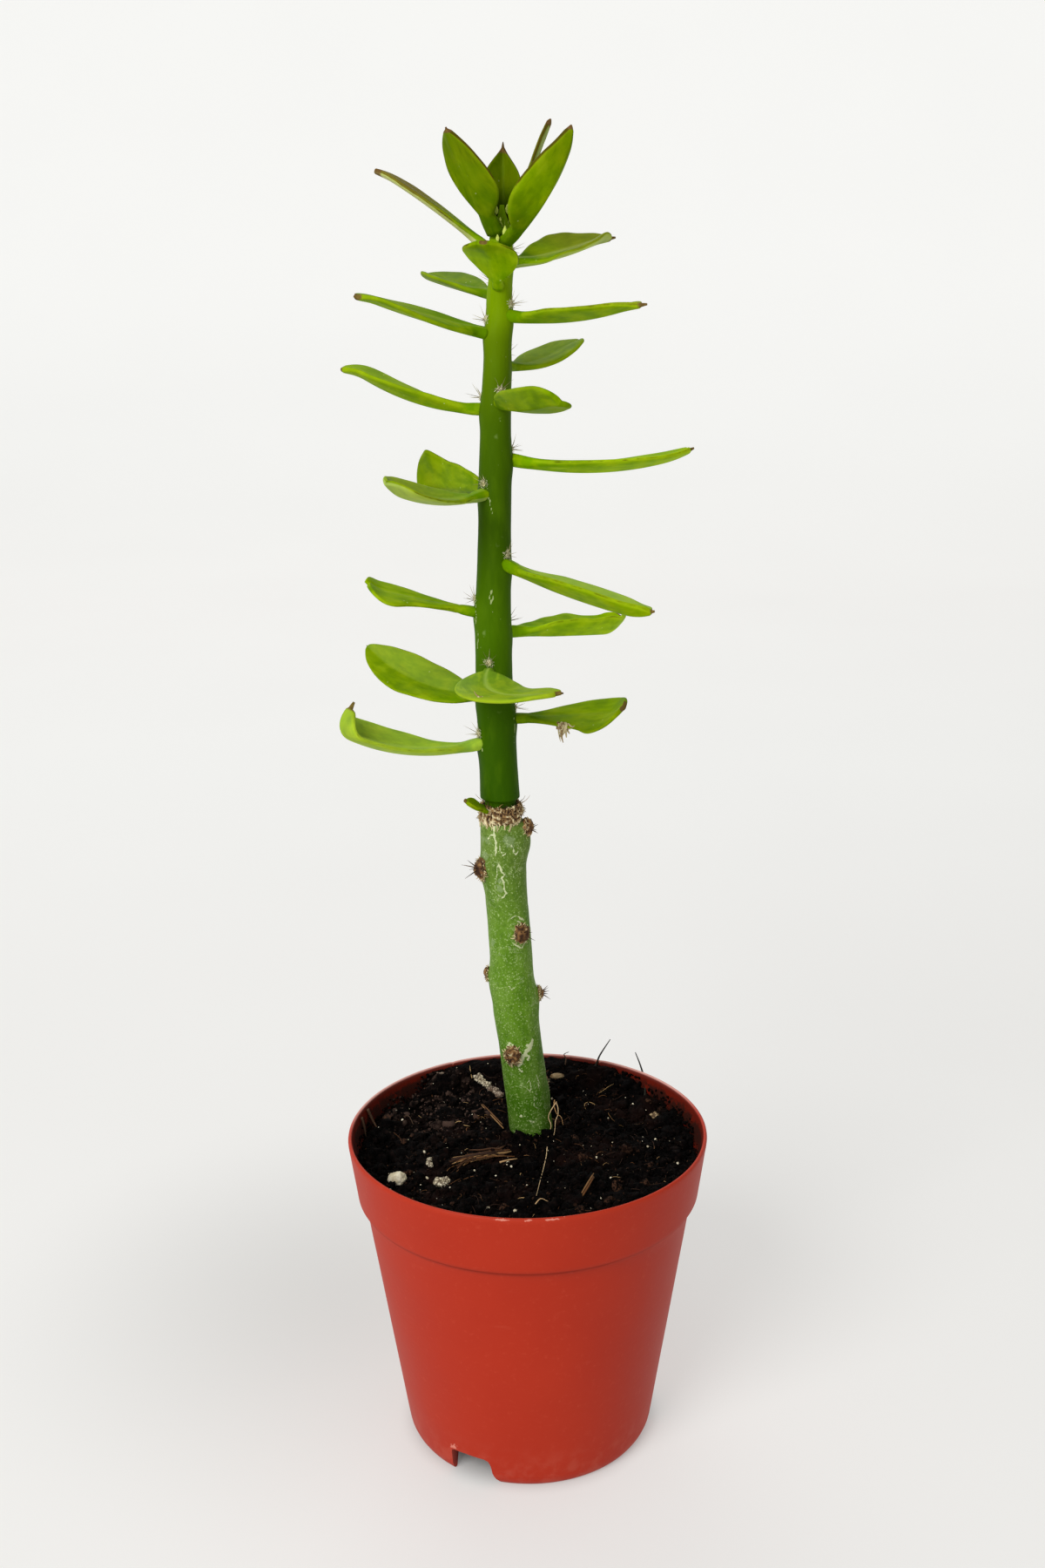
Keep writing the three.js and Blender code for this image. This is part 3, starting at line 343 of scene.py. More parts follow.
# Dry scraps that cling to leaves: leaf, share of its length, place across it, size, number of flakes
LEAF_SCRAPS = [(2, 0.46, 0.92, 1.0, 22), (7, 0.42, -0.6, 0.3, 4), (4, 0.55, 0.8, 0.5, 6)]

# Grains of perlite: place and radius
GRAINS = [
    (-19.6, -8.4, 1.5), (-12.8, -9.6, 1.4), (-15.0, -3.8, 0.9), (-7.4, 20.4, 1.25), (-4.6, 16.6, 0.95),
    (20.6, 11.5, 1.1), (4.6, 22.4, 0.9), (-13.2, 19.4, 0.8),
]
LONG_GRAIN = 7
TAN_GRAINS = (6, 7)
GREY_GRAINS = (5, 8)
# The lumps that a rough grain is made of: place from its middle, radius
GRAIN_LUMPS = {
    2: [(-0.5, 0.1, 0.0, 0.85), (0.5, 0.25, 0.1, 0.75), (0.1, -0.5, 0.0, 0.6), (1.0, -0.2, -0.1, 0.45)],
    3: [(0.0, 0.0, 0.0, 0.5), (0.05, 0.1, 0.55, 0.42), (0.35, -0.3, -0.1, 0.4)],
    4: [(-0.7, 1.1, 0.4, 0.85), (-0.1, 0.2, 0.2, 0.65), (0.5, -0.5, 0.0, 0.55), (1.0, -1.2, 0.1, 0.6)],
    5: [
        (-1.3, 1.6, 0.1, 0.55), (-0.6, 0.8, 0.15, 0.65), (0.0, -0.1, 0.0, 0.6), (0.3, -0.9, 0.3, 0.5),
        (0.7, -0.2, -0.1, 0.4),
    ],
    6: [(-0.1, 0.0, 0.0, 0.95), (0.7, 0.3, -0.1, 0.5), (-0.6, -0.3, 0.1, 0.5)],
    8: [(0.0, 0.0, -0.2, 0.5), (0.6, 0.4, -0.2, 0.35)],
}
# Small shifts of grains within the soil
GRAIN_SHIFT = {6: (0.0, -1.5, -0.4), 7: (0.4, -2.4, -0.4), 8: (-1.4, 1.4, 0.5)}
# Slivers of bark: middle, length, thickness and heading. The second is a splayed bundle of fibres
SLIVERS = [(-5.6, 8.8, 9.6, 0.45, -67), (-7.3, -3.9, 9.4, 1.0, 24), (8.8, -14.0, 4.6, 0.9, 66)]
FIBRE_BUNDLE = 2
BUNDLE_STRANDS = 40
STICK_STRANDS = 4

# Middle of the paler, dusty part of the soil
DUSTY_SOIL = (-13.5, 13.5, 46.5)
# Middle of the painted shadow that the pot leaves on the floor to its left
PAINTED_SHADOW_MIDDLE = (-34.0, 34.0, 0.0)

# Floor, which sweeps up into a backdrop
FLOOR_HALF_WIDTH = 2500
FLOOR_FRONT = -1500
SWEEP_START = 900
SWEEP_RADIUS = 700
SWEEP_STEPS = 12
BACKDROP_TOP = 3200

# Camera, fitted to the ellipses of the rim and foot. Its place is in metres
LENS = 39.0
SENSOR = 36.0
CAMERA_PLACE = (-0.0002245, -0.2376, 0.17136)
CAMERA_PITCH = 15.618
CAMERA_ROLL = -0.5748

# Soft lamps, all turned to the plant: name, place and size in metres, power
LAMPS = [
    ("window_light", (-0.4, -0.62, 0.6), 0.5, 6.2),
    ("fill_light", (0.6, -0.5, 0.35), 0.7, 0.15),
    ("back_light", (-0.2, 0.7, 0.75), 0.6, 1.2),
]
LAMP_TARGET = (0.0, 0.0, 0.1)
ROOM_LIGHT = 0.32

# Where the random draws start for what lies by chance
AREOLE_SEED = 11
RING_SEED = 23
CRUMB_SEED = 31
SPECK_SEED = 37
FIBRE_SEED = 41
SLIVER_SEED = 43
SCRAP_SEED = 47

UP = np.array([0.0, 0.0, 1.0])


# Small helpers
def smooth_step(value, low, high):
    share = np.clip((value - low) / (high - low), 0.0, 1.0)
    return share * share * (3 - 2 * share)


def along_table(value, table):
    """What a table of keys and numbers gives between its rows."""
    return np.interp(value, [key for key, _ in table], [number for _, number in table])


def unit(vector):
    return vector / np.linalg.norm(vector)


def outward(azimuth):
    angle = math.radians(azimuth)
    return np.array([math.cos(angle), math.sin(angle), 0.0])


def level_side(out):
    """The level direction across one that points outward."""
    return unit(np.cross(UP, out))


def turn_from(azimuth, angles):
    """How far round each angle is from an azimuth, in radians, at most half a turn either way."""
    return np.mod(angles - math.radians(azimuth) + math.pi, 2 * math.pi) - math.pi


def stray(chance, size=1):
    """A small random step in any direction."""
    return np.array([chance.gauss(0, size) for _ in range(3)])


def rough(points, size, octaves=4, seed=0.0):
    """Random relief from about -1 to 1 at each point, with lumps of about this size."""
    shift = Vector((seed * 7.3, seed * 3.1, seed * 5.7))
    return np.array([noise.fractal(Vector(p) / size + shift, 0.9, 2.1, octaves) for p in points])


def lumps(points, size, seed=0.0):
    """Rounded lumps beside one another: 1 in their middles and about 0 between them."""
    shift = Vector((seed * 2.3, seed * 9.1, seed * 4.7))
    found = [noise.voronoi(Vector(p) / size + shift)[0] for p in points]
    near = np.array([distances[0] for distances in found])
    second = np.array([distances[1] for distances in found])
    return np.clip((second - near) * 1.6, 0.0, 1.0) ** 0.5


def loops_to_faces(loops, count, closed=True, capped=True):
    """Faces between loops of points that follow one another, each of count points."""
    faces = []
    span = count if closed else count - 1
    for i in range(loops - 1):
        for j in range(span):
            a = i * count + j
            b = i * count + (j + 1) % count
            faces.append((a, b, b + count, a + count))
    if capped:
        faces.append(tuple(range(count - 1, -1, -1)))
        faces.append(tuple(range((loops - 1) * count, loops * count)))
    return faces


def carry(mesh, values):
    """Numbers for each point of the mesh, which its finish reads by their labels."""
    for label, numbers in values.items():
        layer = mesh.attributes.new(label, "FLOAT", "POINT")
        layer.data.foreach_set("value", np.asarray(numbers, np.float32))


def smooth_object(name, points, faces):
    """An object with this mesh, in the scene."""
    mesh = bpy.data.meshes.new(name)
    mesh.from_pydata((np.asarray(points, float) * MM).tolist(), [], faces)
    mesh.shade_smooth()
    made = bpy.data.objects.new(name, mesh)
    bpy.context.scene.collection.objects.link(made)
    return made


def piece(name, points, faces, finish, values=None, stands_for=()):
    """A finished piece that rides on the part. Values are numbers that the finish reads at each point."""
    made = smooth_object(name, points, faces)
    carry(made.data, values or {})
    made.data.materials.append(finish)
    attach(made, "root")
    if stands_for:
        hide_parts(*stands_for)
    return made


class Heap:
    """Many small shapes gathered into one piece, each with its own tone."""

    def __init__(self):
        self.points = []
        self.faces = []
        self.tones = []

    def add(self, points, faces, tone):
        start = len(self.points)
        self.points.extend(np.asarray(points, float).tolist())
        self.faces.extend([tuple(start + k for k in face) for face in faces])
        tones = tone if np.ndim(tone) else [tone] * len(points)
        self.tones.extend(tones)

    def strand(self, path, radii, sides, tone):
        """A thread along a path, as thick at each of its points as radii says."""
        path = [np.asarray(p, float) for p in path]
        loops = []
        across = None
        for i, place in enumerate(path):
            ahead = unit(path[min(i + 1, len(path) - 1)] - path[max(i - 1, 0)])
            if across is None:
                helper = UP if abs(ahead[2]) < 0.9 else np.array([1.0, 0.0, 0.0])
                across = unit(np.cross(helper, ahead))
            across = unit(across - ahead * np.dot(across, ahead))
            up = np.cross(ahead, across)
            for k in range(sides):
                angle = 2 * math.pi * k / sides
                loops.append(place + radii[i] * (math.cos(angle) * across + math.sin(angle) * up))
        self.add(loops, loops_to_faces(len(path), sides), tone)

    def thread(self, path, radius, end, sides, tone):
        """A strand that thins towards its end, to this share of its radius."""
        last = len(path) - 1
        radii = [radius * (1 - (1 - end) * (i / last) ** 1.5) for i in range(last + 1)]
        self.strand(path, radii, sides, tone)

    def finish(self, name, finish, slot, stands_for=()):
        piece(name, self.points, self.faces, finish, {"tone": self.tones}, stands_for)


def bent_path(start, direction, length, steps, bend, chance):
    """A thread's path that starts one way and wanders from it."""
    place = np.asarray(start, float)
    heading = unit(np.asarray(direction, float))
    drift = stray(chance) * bend
    path = [place.copy()]
    for _ in range(steps):
        heading = unit(heading + drift / steps + stray(chance, 0.25 * bend) / steps)
        place = place + heading * length / steps
        path.append(place.copy())
    return path


# Finishes
def paint(red, green, blue):
    """A colour of 0 to 255 steps, as the shader takes it."""
    linear = [((c / 255 + 0.055) / 1.055) ** 2.4 if c > 10 else c / 255 / 12.92 for c in (red, green, blue)]
    return (*linear, 1.0)


class Shade:
    """One socket of a finish. Sums on it add Math nodes."""

    def __init__(self, finish, socket):
        self.finish = finish
        self.socket = socket

    def sum_of(self, operation, first, second):
        return self.finish.node("ShaderNodeMath", {"operation": operation}, {0: first, 1: second})

    def __add__(self, other):
        return self.sum_of("ADD", self, other)

    def __radd__(self, other):
        return self.sum_of("ADD", other, self)

    def __sub__(self, other):
        return self.sum_of("SUBTRACT", self, other)

    def __rsub__(self, other):
        return self.sum_of("SUBTRACT", other, self)

    def __mul__(self, other):
        return self.sum_of("MULTIPLY", self, other)

    def __rmul__(self, other):
        return self.sum_of("MULTIPLY", other, self)

    def at_most(self, other):
        return self.sum_of("MINIMUM", self, other)


class Finish:
    """The finish of one kind of surface: a material and the nodes in it."""

    def __init__(self, name, roughness, specular=0.3):
        self.material = bpy.data.materials.new(name)
        self.material.use_nodes = True
        self.tree = self.material.node_tree
        self.shader = self.tree.nodes["Principled BSDF"]
        self.shader.inputs["Roughness"].default_value = roughness
        self.shader.inputs["Specular IOR Level"].default_value = specular
        self.place = self.node("ShaderNodeTexCoord", output="Object")

    def node(self, kind, settings=None, sockets=None, output=0):
        made = self.tree.nodes.new(kind)
        for name, value in (settings or {}).items():
            if name == "stops":
                self.set_stops(made.color_ramp, value)
            else:
                setattr(made, name, value)
        for name, value in (sockets or {}).items():
            self.feed(made.inputs[name], value)
        return Shade(self, made.outputs[output])

    def set_stops(self, ramp, stops):
        while len(ramp.elements) < len(stops):
            ramp.elements.new(1.0)
        for element, (position, colour) in zip(ramp.elements, stops):
            element.position = position
            element.color = colour

    def feed(self, socket, value):
        if isinstance(value, Shade):
            self.tree.links.new(value.socket, socket)
        else:
            socket.default_value = value

    def value_of(self, label):
        """The number that the piece's mesh carries under this label."""
        return self.node("ShaderNodeAttribute", {"attribute_name": label}, output="Fac")

    def cloud(self, size, detail=3.0, roughness=0.55, stretch=None):
        """Soft random blotches of about this size in millimetres, from 0 to 1."""
        place = self.place
        if stretch:
            sockets = {0: place, 1: stretch}
            place = self.node("ShaderNodeVectorMath", {"operation": "MULTIPLY"}, sockets)
        sockets = {"Vector": place, "Scale": 1.0 / (size * MM), "Detail": detail, "Roughness": roughness}
        return self.node("ShaderNodeTexNoise", {}, sockets)

    def cells(self, size):
        """Distance from the nearest of many scattered points, about this many millimetres apart."""
        sockets = {"Vector": self.place, "Scale": 1.0 / (size * MM), "Randomness": 1.0}
        return self.node("ShaderNodeTexVoronoi", {}, sockets, output="Distance")

    def dots(self, apart, size, patch, low, high, detail=1.0):
        """Small dots this far apart, in some patches and not in others. Their size is a share of that."""
        faded = self.ramp(self.cells(apart), *size)
        return faded * self.ramp(self.cloud(patch, detail), low, high)

    def gap_to(self, place):
        """Distance in metres from a place in millimetres."""
        sockets = {0: self.place, 1: tuple(value * MM for value in place)}
        return self.node("ShaderNodeVectorMath", {"operation": "DISTANCE"}, sockets, output="Value")

    def ramp(self, value, low, high):
        """0 up to low and 1 from high on, smooth between them."""
        settings = {"interpolation_type": "SMOOTHSTEP", "clamp": True}
        if low > high:
            return 1 - self.ramp(value, high, low)
        return self.node("ShaderNodeMapRange", settings, {0: value, 1: low, 2: high, 3: 0.0, 4: 1.0})

    def gradient(self, value, stops):
        """A colour that follows a value through these stops."""
        return self.node("ShaderNodeValToRGB", {"stops": stops}, {0: value})

    def mix(self, mask, plain, covered):
        """The plain colour where the mask is 0, and the other one where it is 1."""
        settings = {"data_type": "RGBA", "clamp_factor": True}
        return self.node("ShaderNodeMix", settings, {0: mask, 6: plain, 7: covered}, output=2)

    def shaded(self, colour, amount):
        """The colour made darker or lighter by a number about 1."""
        return self.node("ShaderNodeVectorMath", {"operation": "SCALE"}, {0: colour, "Scale": amount})

    def bump(self, height, distance, strength=1.0, under=None):
        sockets = {"Height": height, "Distance": distance * MM, "Strength": strength}
        if under:
            sockets["Normal"] = under
        return self.node("ShaderNodeBump", {}, sockets)

    def wear(self, colour=None, roughness=None, normal=None):
        for name, value in (("Base Color", colour), ("Roughness", roughness), ("Normal", normal)):
            if value is not None:
                self.feed(self.shader.inputs[name], value)
        return self.material


def pot_plastic():
    finish = Finish("pot_plastic", 0.45, 0.11)
    blotch = finish.cloud(14, 2.0)
    grain = finish.cloud(0.9, 4.0, 0.7)
    scrape = finish.cloud(2.2, 3.0, 0.6, stretch=(0.35, 0.35, 2.6))
    inside = finish.value_of("inside")
    scuffs_and_highlight = finish.value_of("scuff")
    rim = finish.value_of("rim")
    colour = finish.mix(blotch, paint(169, 41, 19), paint(181, 50, 26))
    colour = finish.mix(finish.ramp(grain, 0.55, 0.75) * 0.26, colour, paint(198, 76, 52))
    colour = finish.mix(finish.ramp(scrape, 0.66, 0.8) * 0.1, colour, paint(206, 104, 84))
    worn_foot = finish.value_of("foot") * finish.ramp(finish.cloud(2.6, 3.0), 0.42, 0.66)
    colour = finish.mix(worn_foot * 0.14, colour, paint(206, 118, 98))
    # Painted highlight: the lip is painted a lighter pink
    colour = finish.mix(rim * 0.08, colour, paint(208, 92, 70))
    # Painted shade: a dark band along the collar's lower edge
    colour = finish.mix(finish.value_of("collar") * 0.6, colour, paint(110, 26, 12))
    # Painted highlight: the back of the lip is painted pale pink, as if light shone through it
    colour = finish.mix(finish.value_of("back_lip") * 0.6, colour, paint(236, 196, 186))
    # Painted shade: the inner face of the pot is painted dark red, as if in shadow
    colour = finish.mix(inside * 0.86, colour, paint(84, 19, 8))
    # Lighter scuffs, and a painted highlight along the front of the lip
    ragged = finish.ramp(scuffs_and_highlight + (finish.cloud(0.4, 3.0) - 0.5) * 1.3, 0.42, 0.62)
    colour = finish.mix(ragged * 0.8, colour, paint(220, 140, 122))
    stain = finish.ramp(finish.cloud(1.6, 4.0, 0.7) + finish.value_of("dust") * 0.3, 0.62, 0.78)
    colour = finish.mix(stain * finish.value_of("dust") * 0.9, colour, paint(38, 20, 14))
    roughness = 0.4 + 0.18 * blotch + 0.25 * ragged + 0.45 * finish.value_of("collar")
    relief = finish.bump(grain, 0.03, 0.5)
    relief = finish.bump(scrape, 0.05, 0.3, relief)
    return finish.wear(colour, roughness, relief)


def peat():
    finish = Finish("peat", 0.9, 0.06)
    crumb = finish.cloud(0.8, 4.0, 0.7)
    patch = finish.cloud(8, 2.0)
    tone = finish.value_of("tone")
    colour = finish.mix(finish.ramp(crumb, 0.45, 0.75), paint(1, 0, 0), paint(24, 15, 12))
    colour = finish.mix(finish.ramp(patch, 0.5, 0.72) * 0.35, colour, paint(38, 18, 12))
    pale_crumbs = finish.ramp(tone + finish.cloud(1.1, 4.0, 0.7) - 0.5, 0.46, 0.86)
    dusty = finish.ramp(finish.gap_to(DUSTY_SOIL), 0.0125, 0.005) * pale_crumbs
    colour = finish.mix(dusty * 0.8, colour, paint(82, 64, 56))
    # Lighter bits on some crumbs: partly paler peat, partly painted highlights that stand in for gloss
    light = finish.ramp(tone, 0.82, 1.0) * finish.ramp(finish.cloud(0.35, 3.0, 0.6), 0.42, 0.62)
    colour = finish.mix(light * 0.7, colour, paint(86, 58, 42))
    speck = finish.dots(0.9, (0.14, 0.06), 2.4, 0.54, 0.64)
    colour = finish.mix(speck * 0.5, colour, paint(128, 108, 84))
    relief = finish.bump(crumb, 0.3, 0.9)
    return finish.wear(colour, None, relief)


def perlite(name, dark, light):
    finish = Finish(name, 0.9, 0.12)
    cloud = finish.cloud(0.9, 4.0, 0.65)
    pits = finish.cells(0.45)
    colour = finish.mix(finish.ramp(cloud, 0.35, 0.65), dark, light)
    dirt = finish.ramp(finish.value_of("hollow"), 0.25, 0.8)
    colour = finish.mix(dirt * 0.85, colour, paint(70, 50, 34))
    relief = finish.bump(pits, 0.16, 0.7)
    return finish.wear(colour, None, relief)


def dry_fibre(name, dark, middle, light):
    finish = Finish(name, 0.8, 0.25)
    tone = finish.value_of("tone")
    streak = finish.cloud(0.35, 3.0)
    colour = finish.mix(finish.ramp(tone, 0.0, 0.5), dark, middle)
    colour = finish.mix(finish.ramp(tone, 0.5, 1.0), colour, light)
    colour = finish.mix(finish.ramp(streak, 0.5, 0.75) * 0.5, colour, dark)
    return finish.wear(colour, None, finish.bump(streak, 0.06, 0.6))


def contour_lines(finish, size, width):
    """Thin wandering lines, in patches."""
    level = finish.cloud(size, 4.0, 0.6) - 0.5
    patches = finish.ramp(finish.cloud(size * 2.4, 2.0), 0.5, 0.6)
    return finish.ramp(level * level, width * width, 0.0) * patches


def old_stem_skin():
    finish = Finish("old_stem_skin", 0.55, 0.1)
    tall = finish.value_of("tall")
    scar = finish.value_of("scar")
    silver = finish.value_of("silver")
    blotch = finish.cloud(2.2, 3.0, 0.6, stretch=(1.0, 1.0, 0.45))
    fine = finish.cloud(0.3, 3.0, 0.65)
    stops = [
        (0.0, paint(54, 92, 6)), (0.13, paint(66, 108, 10)), (0.4, paint(96, 138, 26)),
        (0.68, paint(98, 136, 32)), (0.86, paint(96, 124, 40)), (1.0, paint(100, 124, 46)),
    ]
    green = finish.gradient(tall, stops)
    green = finish.mix(finish.ramp(blotch, 0.4, 0.68) * 0.35, green, paint(118, 148, 66))
    green = finish.mix(finish.ramp(blotch, 0.55, 0.3) * 0.4, green, paint(58, 98, 14))
    dots = finish.dots(0.4, (0.36, 0.16), 0.9, 0.4, 0.56, detail=2.0)
    flecks = finish.ramp(fine, 0.56, 0.68)
    specks = (dots * 0.8 + flecks * 0.5).at_most(1.0)
    green = finish.mix(specks * 0.9, green, paint(174, 198, 124))
    gaps = finish.ramp(finish.cloud(0.5, 3.0, 0.6), 0.5, 0.36)
    green = finish.mix(gaps * 0.3, green, paint(50, 84, 10))
    lines = contour_lines(finish, 1.5, 0.012)
    green = finish.mix(lines * 0.5, green, paint(196, 208, 156))
    patch = finish.ramp(silver + (finish.cloud(0.9, 4.0, 0.7) - 0.5) * 2.2, 0.5, 0.75)
    green = finish.mix(patch * 0.3, green, paint(160, 174, 138))
    cork = finish.mix(finish.cloud(0.5, 2.0), paint(176, 186, 132), paint(216, 222, 180))
    lines = finish.ramp(scar + (fine - 0.5) * 1.1, 0.5, 0.7)
    colour = finish.mix(lines, green, cork)
    areole = finish.ramp(finish.value_of("areole") + (fine - 0.5) * 1.2, 0.45, 0.7)
    wool = finish.mix(finish.ramp(fine, 0.4, 0.6), paint(120, 88, 48), paint(214, 196, 146))
    colour = finish.mix(areole, colour, wool)
    roughness = 0.5 + 0.2 * scar + 0.1 * blotch
    relief = finish.bump(specks, 0.05, 0.5)
    relief = finish.bump(finish.cloud(0.9, 4.0, 0.6), 0.12, 0.35, relief)
    return finish.wear(colour, roughness, relief)


def shoot_skin():
    finish = Finish("shoot_skin", 0.42, 0.03)
    tall = finish.value_of("tall")
    scar = finish.value_of("scar")
    blotch = finish.cloud(2.0, 3.0, 0.6, stretch=(1.0, 1.0, 0.3))
    fine = finish.cloud(0.4, 3.0)
    # The green up the shoot, read off at several heights, carries painted light and shade: darker where the
    # leaves shade it, lighter near the top
    stops = [
        (0.0, paint(44, 78, 0)), (0.2, paint(54, 88, 0)), (0.32, paint(70, 106, 0)),
        (0.5, paint(54, 84, 0)), (0.66, paint(66, 96, 0)), (0.8, paint(92, 120, 0)),
        (0.88, paint(128, 160, 0)), (1.0, paint(118, 152, 4)),
    ]
    green = finish.gradient(tall, stops)
    green = finish.mix(finish.ramp(blotch, 0.45, 0.75) * 0.25, green, paint(92, 126, 8))
    dots = finish.dots(1.0, (0.1, 0.05), 3.0, 0.5, 0.6)
    green = finish.mix(dots * 0.5, green, paint(168, 184, 110))
    faint = finish.ramp(finish.cloud(1.6, 2.0), 0.56, 0.7) * finish.ramp(finish.cells(4.0), 0.3, 0.2)
    green = finish.mix(faint * 0.35, green, paint(140, 164, 88))
    lines = finish.ramp(scar + (fine - 0.5) * 1.1, 0.5, 0.75)
    colour = finish.mix(lines * 0.6, green, paint(190, 200, 140))
    dry = finish.value_of("areole")
    cork = finish.mix(finish.ramp(fine, 0.42, 0.6), paint(126, 112, 60), paint(208, 200, 150))
    colour = finish.mix(finish.ramp(dry + (fine - 0.5) * 0.7, 0.4, 0.7), colour, cork)
    roughness = 0.4 + 0.2 * blotch + 0.2 * scar
    relief = finish.bump(finish.cloud(0.7, 4.0, 0.6, stretch=(1.0, 1.0, 0.4)), 0.06, 0.4)
    return finish.wear(colour, roughness, relief)


def leaf_skin():
    finish = Finish("leaf_skin", 0.45, 0.01)
    along = finish.value_of("along")
    under = finish.value_of("under")
    edge = finish.value_of("edge")
    tip = finish.value_of("tip")
    away = finish.value_of("away")
    blotch = finish.cloud(3.0, 3.0, 0.5)
    fine = finish.cloud(0.5, 3.0, 0.6)
    sockets = {
        0: finish.value_of("reach") * 0.3, 1: finish.value_of("across"), 2: finish.value_of("leaf") * 5.3,
    }
    lengthwise = finish.node("ShaderNodeCombineXYZ", {}, sockets)
    sockets = {"Vector": lengthwise, "Scale": 0.9, "Detail": 3.0, "Roughness": 0.6}
    streak = finish.node("ShaderNodeTexNoise", {}, sockets)
    green = finish.mix(finish.ramp(along, 0.0, 0.55), paint(98, 138, 0), paint(126, 158, 0))
    green = finish.mix(finish.ramp(blotch, 0.45, 0.7) * 0.55, green, paint(152, 172, 4))
    green = finish.mix(finish.ramp(blotch, 0.5, 0.3) * 0.45, green, paint(90, 126, 0))
    green = finish.mix(finish.ramp(streak, 0.5, 0.7) * 0.5, green, paint(156, 182, 20))
    green = finish.mix(finish.ramp(streak, 0.5, 0.3) * 0.45, green, paint(84, 120, 0))
    # Painted shade on the half turned to the back, and a painted highlight where its amount is below 0
    green = finish.mix(away * 0.6, green, paint(84, 122, 6))
    green = finish.mix(away * -0.7, green, paint(160, 188, 90))
    green = finish.mix(under * finish.value_of("pale"), green, paint(196, 194, 136))
    dots = finish.dots(1.5, (0.1, 0.05), 4.0, 0.5, 0.58)
    green = finish.mix(dots * 0.6, green, paint(196, 208, 130))
    colour = finish.mix(finish.value_of("rib") * 0.6, green, paint(182, 204, 104))
    colour = finish.mix(finish.ramp(edge, 0.05, 0.4) * 0.35, colour, paint(160, 182, 24))
    colour = finish.mix(finish.value_of("bronze"), colour, paint(116, 96, 36))
    # Painted light and shade: each leaf is painted lighter or darker, and darker towards its base or end
    colour = finish.shaded(colour, finish.value_of("light"))
    ragged = (finish.cloud(1.1, 3.0) - 0.5) * 0.7
    brown = finish.ramp(edge * finish.value_of("dry") + ragged * edge, 0.45, 0.8)
    colour = finish.mix(brown * 0.85, colour, finish.mix(fine, paint(46, 34, 4), paint(92, 68, 18)))
    burnt = finish.ramp(tip + ragged * 0.4, 0.3, 0.7)
    colour = finish.mix(burnt * 0.9, colour, finish.mix(fine, paint(66, 44, 20), paint(136, 104, 62)))
    roughness = 0.36 + 0.2 * blotch + 0.3 * burnt
    relief = finish.bump(finish.cloud(0.5, 3.0, 0.5), 0.03, 0.3)
    relief = finish.bump(streak, 0.12, 0.35, relief)
    return finish.wear(colour, roughness, relief)


# Stem
def stem_at(height):
    """The middle of the stem and its radius at a height, on smooth curves through its stations."""
    last = len(STEM_STATIONS) - 2
    i = 0
    while i < last and STEM_STATIONS[i + 1][0] < height:
        i += 1
    near = [STEM_STATIONS[min(max(k, 0), last + 1)] for k in (i - 1, i, i + 1, i + 2)]
    t = (height - near[1][0]) / (near[2][0] - near[1][0])
    found = []
    for key in (1, 2, 3):
        a, b, c, d = (station[key] for station in near)
        slope_in = (c - a) / 2
        slope_out = (d - b) / 2
        rise = c - b
        bow = 3 * rise - 2 * slope_in - slope_out
        found.append(b + t * (slope_in + t * (bow + t * (slope_in + slope_out - 2 * rise))))
    return found


def leaf_azimuth(index):
    return FIRST_LEAF_AZIMUTH + GOLDEN_ANGLE * index + LEAVES[index].lean


def shoot_radius(height, angle):
    """The shoot's radius, with a swelling at the foot of each leaf."""
    radius = stem_at(height)[2]
    for index, leaf in enumerate(LEAVES):
        away = (height - leaf.height + SWELLING_DROP) / SWELLING_LENGTH
        facing = np.maximum(0.0, np.cos(angle - math.radians(leaf_azimuth(index))))
        radius = radius + SWELLING * np.exp(-away * away) * facing ** 2
    return radius


def stem_point(height, azimuth, radius):
    """A place this far from the middle of the stem."""
    x, y, _ = stem_at(height)
    angle = math.radians(azimuth)
    return np.array([x + radius * math.cos(angle), y + radius * math.sin(angle), height])


